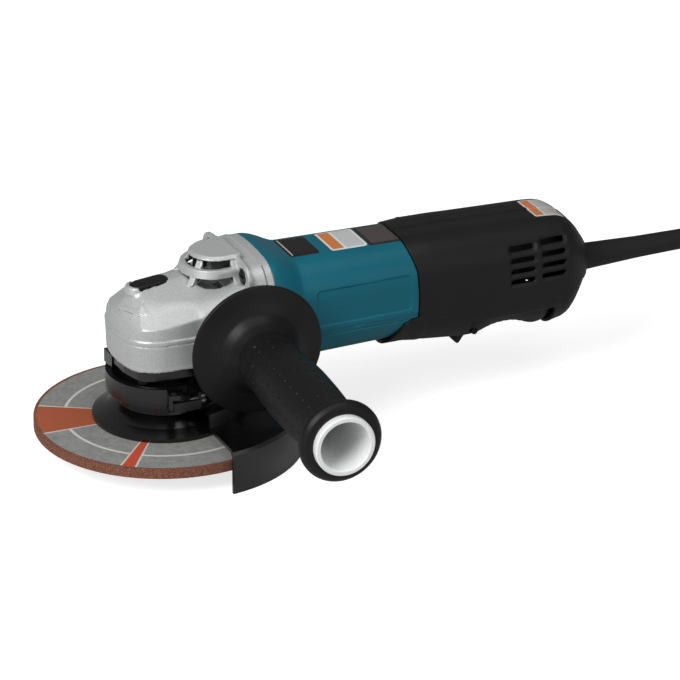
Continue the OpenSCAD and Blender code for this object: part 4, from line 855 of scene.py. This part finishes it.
REAR_X = (140, 155, 172, 191, 206, 232, 240, 244, 248, 252, 255.5, 259, 261.4)
REAR_TOP = (94.8, 95.4, 95.2, 94.4, 93.9, 93.1, 92.3, 91.0, 88.6, 84.8, 80.8, 75.6, 72.4)
REAR_LOW = (30.6, 28.8, 27.0, 25.2, 25.2, 25.2, 27.4, 29.8, 33.6, 38.2, 41.6, 44.2, 45.4)
REAR_HALF = (30.2, 31.6, 31.9, 32, 32, 32, 31.4, 30.4, 28.2, 24.8, 21.2, 16.4, 13.4)
REAR_R = (22, 22.5, 23, 23, 23, 23, 22, 21, 19.6, 17.6, 16, 14, 12.4)
REAR_END = 261.6
VENT_X, VENT_Z = 211.55, 62.6  # middle of the lowest slot of the front column
REAR_SCREWS = ((157, 41, 24), (157, 87, 24), (238, 34.5, 20), (247, 78, 24))  # x, z, head's y
PADDLE_PIN, LEVER_PIN = (184, 33), (196, 32)


def rear_form(x, y, z, inset=0.0):
    """Outer form of the rear housing, drawn in by the inset."""
    top, half, r = (ease(x, REAR_X, v, 1.0) - inset for v in (REAR_TOP, REAR_HALF, REAR_R))
    low = ease(x, REAR_X, REAR_LOW, 1.0) + inset
    q = box2(y, z - (top + low) / 2, half, (top - low) / 2, r)
    return np.maximum(q, x - REAR_END + inset)


def vents(x, z):
    """(slots, scoops) as two fields over the side faces."""
    slots, scoops = 99.0, 99.0
    for i in range(2):
        for j in range(4):
            cx, cz = VENT_X + i * 20, VENT_Z + j * 6.45 + i * 0.9
            u, v = x - cx - 0.12 * (z - cz), z - cz
            slots = np.minimum(slots, box2(u, v, 7.6, 1.45, 1.4))
            scoops = np.minimum(scoops, box2(u, v, 8.9, 2.6, 2.3))
    return slots, scoops


def around(x, z, centre):
    """Distance from an axis along Y."""
    return np.hypot(x - centre[0], z - centre[1])


def rear_case(side):
    """Field of the rear housing's half on the +Y side (1) or the -Y side (-1)."""
    def field(x, y, z):
        slots, scoops = vents(x, z)
        ledge = step(49 - z, 0.8) * step(x - 150, 4) * step(240 - x, 6)
        seam = np.maximum(np.abs(y) - 1.3, slab(x, 146, 262))
        d = rear_form(x, y, z) + 0.9 * step(-scoops, 2.0) + 0.55 * ledge
        d = d - 0.5 * step(-seam, 1.2) * step(z - 60, 4)
        d = rmax(d, rear_edge(z) + 0.2 - x, 0.5)
        # tongue under the motor housing
        wide, low = ease(x, (113, 144), (20, 21)), ease(x, (113, 144), (33.4, 30.2))
        tongue = np.maximum(box2(y, z - 50, wide, 50 - low, 15), z - 41)
        tongue = carve(rmax(tongue, slab(x, 112, 148), 1.5), motor_form(x, y, z, -0.3))
        d = carve(np.minimum(d, tongue),
                  np.maximum(rear_form(x, y, z, WALL), 141.5 - x),
                  np.maximum(motor_form(x, y, z, -0.2), x - rear_edge(z) - 0.1))
        d = rmax(d, -np.maximum(slots, slab(np.abs(y), 20, 60)), 0.3)
        # collar of the cord guard
        rad = np.hypot(y, z - CORD_Z)
        d = np.minimum(d, np.maximum(slab(rad, 8.9, 13.6), slab(x, 251, REAR_END - 0.1)))
        d = carve(d, np.maximum(rad - 7.98, slab(x, 244, 300)),
                  np.maximum(rad - 10.98, slab(x, 256.9, 260.2)))
        # shield behind the vents, hanging from the roof
        shield = np.maximum(slab(np.abs(y), 17.0, 18.8), np.maximum(slab(x, 201, 241), 57 - z))
        d = np.minimum(d, np.maximum(shield, rear_form(x, y, z, 1.4)))
        # room of the paddle, its pin and the lock-off lever
        room = box3(x, y, z, (179.4, -40, 10), (232.6, 40, 42))
        keep = box3(x, y, z, (170, -16.5, 28), (189.5, 16.5, 42))
        d = carve(d, np.maximum(room, -keep), box3(x, y, z, (171, -7, 24), (191, 7, 38.2)),
                  np.maximum(around(x, z, PADDLE_PIN) - 2.05, np.abs(y) - 26))
        for sx, sz, seat in REAR_SCREWS:
            hole = around(x, z, (sx, sz))
            d = rmax(d, -np.maximum(hole - 3.7, seat - y), 0.3)
            d = carve(d, np.maximum(hole - 2.05, -15 - y))
        return np.maximum(d, -y * side + 0.04)
    return field


for side, tag, y0, y1 in ((1, "left", -1.5, 34), (-1, "right", -34, 1.5)):
    solid("rear_case_" + tag, rear_case(side), (110, y0, 22), (266, y1, 98), 0.82, "housing",
          SHELL, "black_plastic", "rear_housing_" + tag)

# ---------------------------------------------------------------- paddle

PADDLE_X = (180, 184, 188, 194, 200, 206, 211, 215, 219, 224, 229, 232)
PADDLE_LOW = (27.6, 26.2, 26.6, 28.8, 30.2, 30.6, 30.4, 29.6, 28.2, 26.4, 26.6, 28.4)


def paddle_piece(x, y, z):
    """Hollow paddle with a finger rest and grip ribs, ears for the lever and the switch's post."""
    half = ease(x, (180, 187, 226, 232), (27.4, 28.4, 28.4, 27.4), 1)
    low = ease(x, PADDLE_X, PADDLE_LOW, 1.2)
    d = rmax(box2(y, z - (low + 85) / 2, half, (85 - low) / 2, 20.4), slab(x, 180.05, 231.95), 1.0)
    ribs = step(np.abs((x - 197) % 4.4 - 2.2) - 1.2, 0.8)
    ribs = ribs * step(x - 196, 2) * step(221 - x, 2) * step(33 - z, 4)
    d = rmax(d + 0.5 * ribs, z - 44.45, 0.3)
    hollow = box2(y, z - (low + 2.2 + 95) / 2, half - 2.5, (95 - low - 2.2) / 2, 17)
    d = carve(d, np.maximum(hollow, slab(x, 182.5, 229.5)),
              box3(x, y, z, (178, -7, 20), (201, 7, 31.5)),
              np.maximum(slab(x, 178, 191), slab(np.abs(y), 9.6, 17)))
    for ear in (-8.25, 8.25):
        d = np.minimum(d, box3(x, y, z, (193, ear - 1.25, 28), (199, ear + 1.25, 36)))
    d = np.minimum(d, box3(x, y, z, (201, -5, 30), (207, 5, 46.15)))
    return carve(d, np.maximum(around(x, z, PADDLE_PIN) - 2.06, -1),
                 np.maximum(around(x, z, LEVER_PIN) - 1.52, np.abs(y) - 15))


solid("paddle_piece", paddle_piece, (178, -30, 24), (234, 30, 48), 0.6, "paddle", BLACK,
      "black_plastic", "paddle")

# ---------------------------------------------------------------- side handle

def on_handle(v):
    """(x, y, h) of a turned part to the side handle's place, h pointing outward along -Y."""
    x, y, h = v.T
    c, t = math.cos(-HANDLE_TURN), math.sin(-HANDLE_TURN)
    return np.stack([HANDLE.x + (x * c + h * t), HANDLE.y + (x * t - h * c), HANDLE.z + y], 1)


# (radius, distance from the head) round the sleeve: flange, waist, grip, end bulge, bore
GRIP_OUT = [(14.5, 3), (16, 3), (37.8, 4.4), (38.8, 5.4), (38.4, 7), (35.8, 7.8), (30, 9.6),
            (24, 12.6), (20.5, 17), (18, 23), (17, 32), (18.3, 55.6), (18.8, 72.3), (18.5, 91.7),
            (17.4, 115), (17.4, 122), (19, 127), (22.2, 129.5), (23.8, 132.5), (23.8, 135.5),
            (21.8, 138.2), (19.8, 139), (17.4, 139), (17.4, 125), (14.5, 119)]
DIMPLE_ROWS, DIMPLE_PITCH, DIMPLE_R, DIMPLE_DEEP = 14, 8.6, 1.35, 0.8


def dimples(r, a, h):
    """Staggered rows of small dimples along the grip."""
    pitch = DIMPLE_PITCH
    k = np.round(a / (2 * math.pi) * DIMPLE_ROWS)
    da = (a - k * 2 * math.pi / DIMPLE_ROWS) * r
    dh = (h - 34 - np.where(k % 2 == 0, 0.0, pitch / 2) + pitch / 2) % pitch - pitch / 2
    deep = DIMPLE_DEEP * np.clip(1 - (np.hypot(da, dh) / DIMPLE_R) ** 2, 0, 1)
    return np.where((r > 16.6) & (h > 30) & (h < 118), -deep, 0)


lathe("side_grip_sleeve", rounded(GRIP_OUT, 1.6), 0.55, 224, dimples, on_handle, "housing", GRIP,
      "grip_plastic", "side_grip")

# ---------------------------------------------------------------- the rest, carried over from CAD

CARRIED = {
    "abrasive": WHEEL, "black_metal": DARK_METAL, "steel": STEEL, "die_cast": SILVER,
    "teal_plastic": TEAL, "black_plastic": BLACK, "grip_plastic": GRIP, "white_plastic": WHITE,
    "bearing_steel": BEARING, "lamination": LAMINATION, "copper": COPPER, "carbon": CARBON,
    "rubber": RUBBER, "brass": BRASS, "filter_blue": BLUE,
}
BLACKENED = turned("blackened_steel", (38, 38, 40), 0.36)
OWN = dict.fromkeys(("paddle_pin", "bearing_box_screws", "gear_housing_screws",
                     "rear_housing_screws"), BLACKENED)
for row in frame["record"]["subparts"]:
    obj = frame["nodes"][row["node"]]
    mat = OWN.get(row["node"], CARRIED[row["material_slot"]])
    if not obj.material_slots:
        obj.data.materials.append(mat)
    for place in obj.material_slots:
        place.material = mat


def compress(node):
    """Gives a coil spring its own copy of its mesh."""
    obj = frame["nodes"][node]
    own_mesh(obj)


compress("lock_spring")
compress("paddle_spring")

# ---------------------------------------------------------------- floor, light

FLOOR_Z = CAD_BOX[0][2] / MM - 0.05
FLOOR_HALF = 4000
GLOW = 0.75


def floor_material():
    """Pale floor that glows for the camera alone."""
    m = Mat("floor", rough=0.9)
    m.done(m.mix(m.remap(m.noise(3, 3), 0.3, 0.7, 0, 1),
                 lin((206, 206, 206)), lin((212, 212, 212))))
    seen = m.node("ShaderNodeLightPath").outputs["Is Camera Ray"]
    glow = m.node("ShaderNodeEmission")
    glow.inputs["Color"].default_value = (1, 1, 1, 1)
    m.link(m.product(seen, GLOW), glow.inputs["Strength"])
    add = m.node("ShaderNodeAddShader")
    m.link(m.shader.outputs[0], add.inputs[0])
    m.link(glow.outputs[0], add.inputs[1])
    m.link(add.outputs[0], m.t.nodes["Material Output"].inputs["Surface"])
    return m.m


floor = poly("floor", [np.array((i * FLOOR_HALF, j * FLOOR_HALF, FLOOR_Z))
                       for i, j in ((-1, -1), (1, -1), (1, 1), (-1, 1))], [(0, 1, 2, 3)])
floor.data.materials.append(floor_material())

# white for the camera and through clear pieces, dim for all other rays
world = bpy.data.worlds.new("world")
SCENE.world = world
world.use_nodes = True
wt = world.node_tree
back = wt.nodes["Background"]
path = wt.nodes.new("ShaderNodeLightPath")
seen = wt.nodes.new("ShaderNodeMath")
seen.operation = "MAXIMUM"
wt.links.new(path.outputs["Is Camera Ray"], seen.inputs[0])
wt.links.new(path.outputs["Is Transmission Ray"], seen.inputs[1])
level = wt.nodes.new("ShaderNodeMapRange")
wt.links.new(seen.outputs[0], level.inputs["Value"])
level.inputs["To Min"].default_value = 0.2
level.inputs["To Max"].default_value = 1.0
back.inputs["Color"].default_value = (1, 1, 1, 1)
wt.links.new(level.outputs["Result"], back.inputs["Strength"])


def lamp(name, place, size, power):
    """Rectangular lamp that points at the tool."""
    data = bpy.data.lights.new(name, "AREA")
    data.shape = "RECTANGLE"
    data.size, data.size_y = size
    data.energy = power
    obj = bpy.data.objects.new(name, data)
    obj.location = place
    obj.rotation_euler = (AIM - Vector(place)).to_track_quat("-Z", "Y").to_euler()
    SCENE.collection.objects.link(obj)


AIM = Vector((0.1, 0, 0.05))
lamp("key", (-1.25, -0.78, 1.3), (0.9, 0.9), 28)
lamp("fill", (0.9, -1.6, 0.8), (1.2, 0.8), 3.5)
lamp("top", (0.3, -0.45, 1.65), (1.1, 0.8), 5)
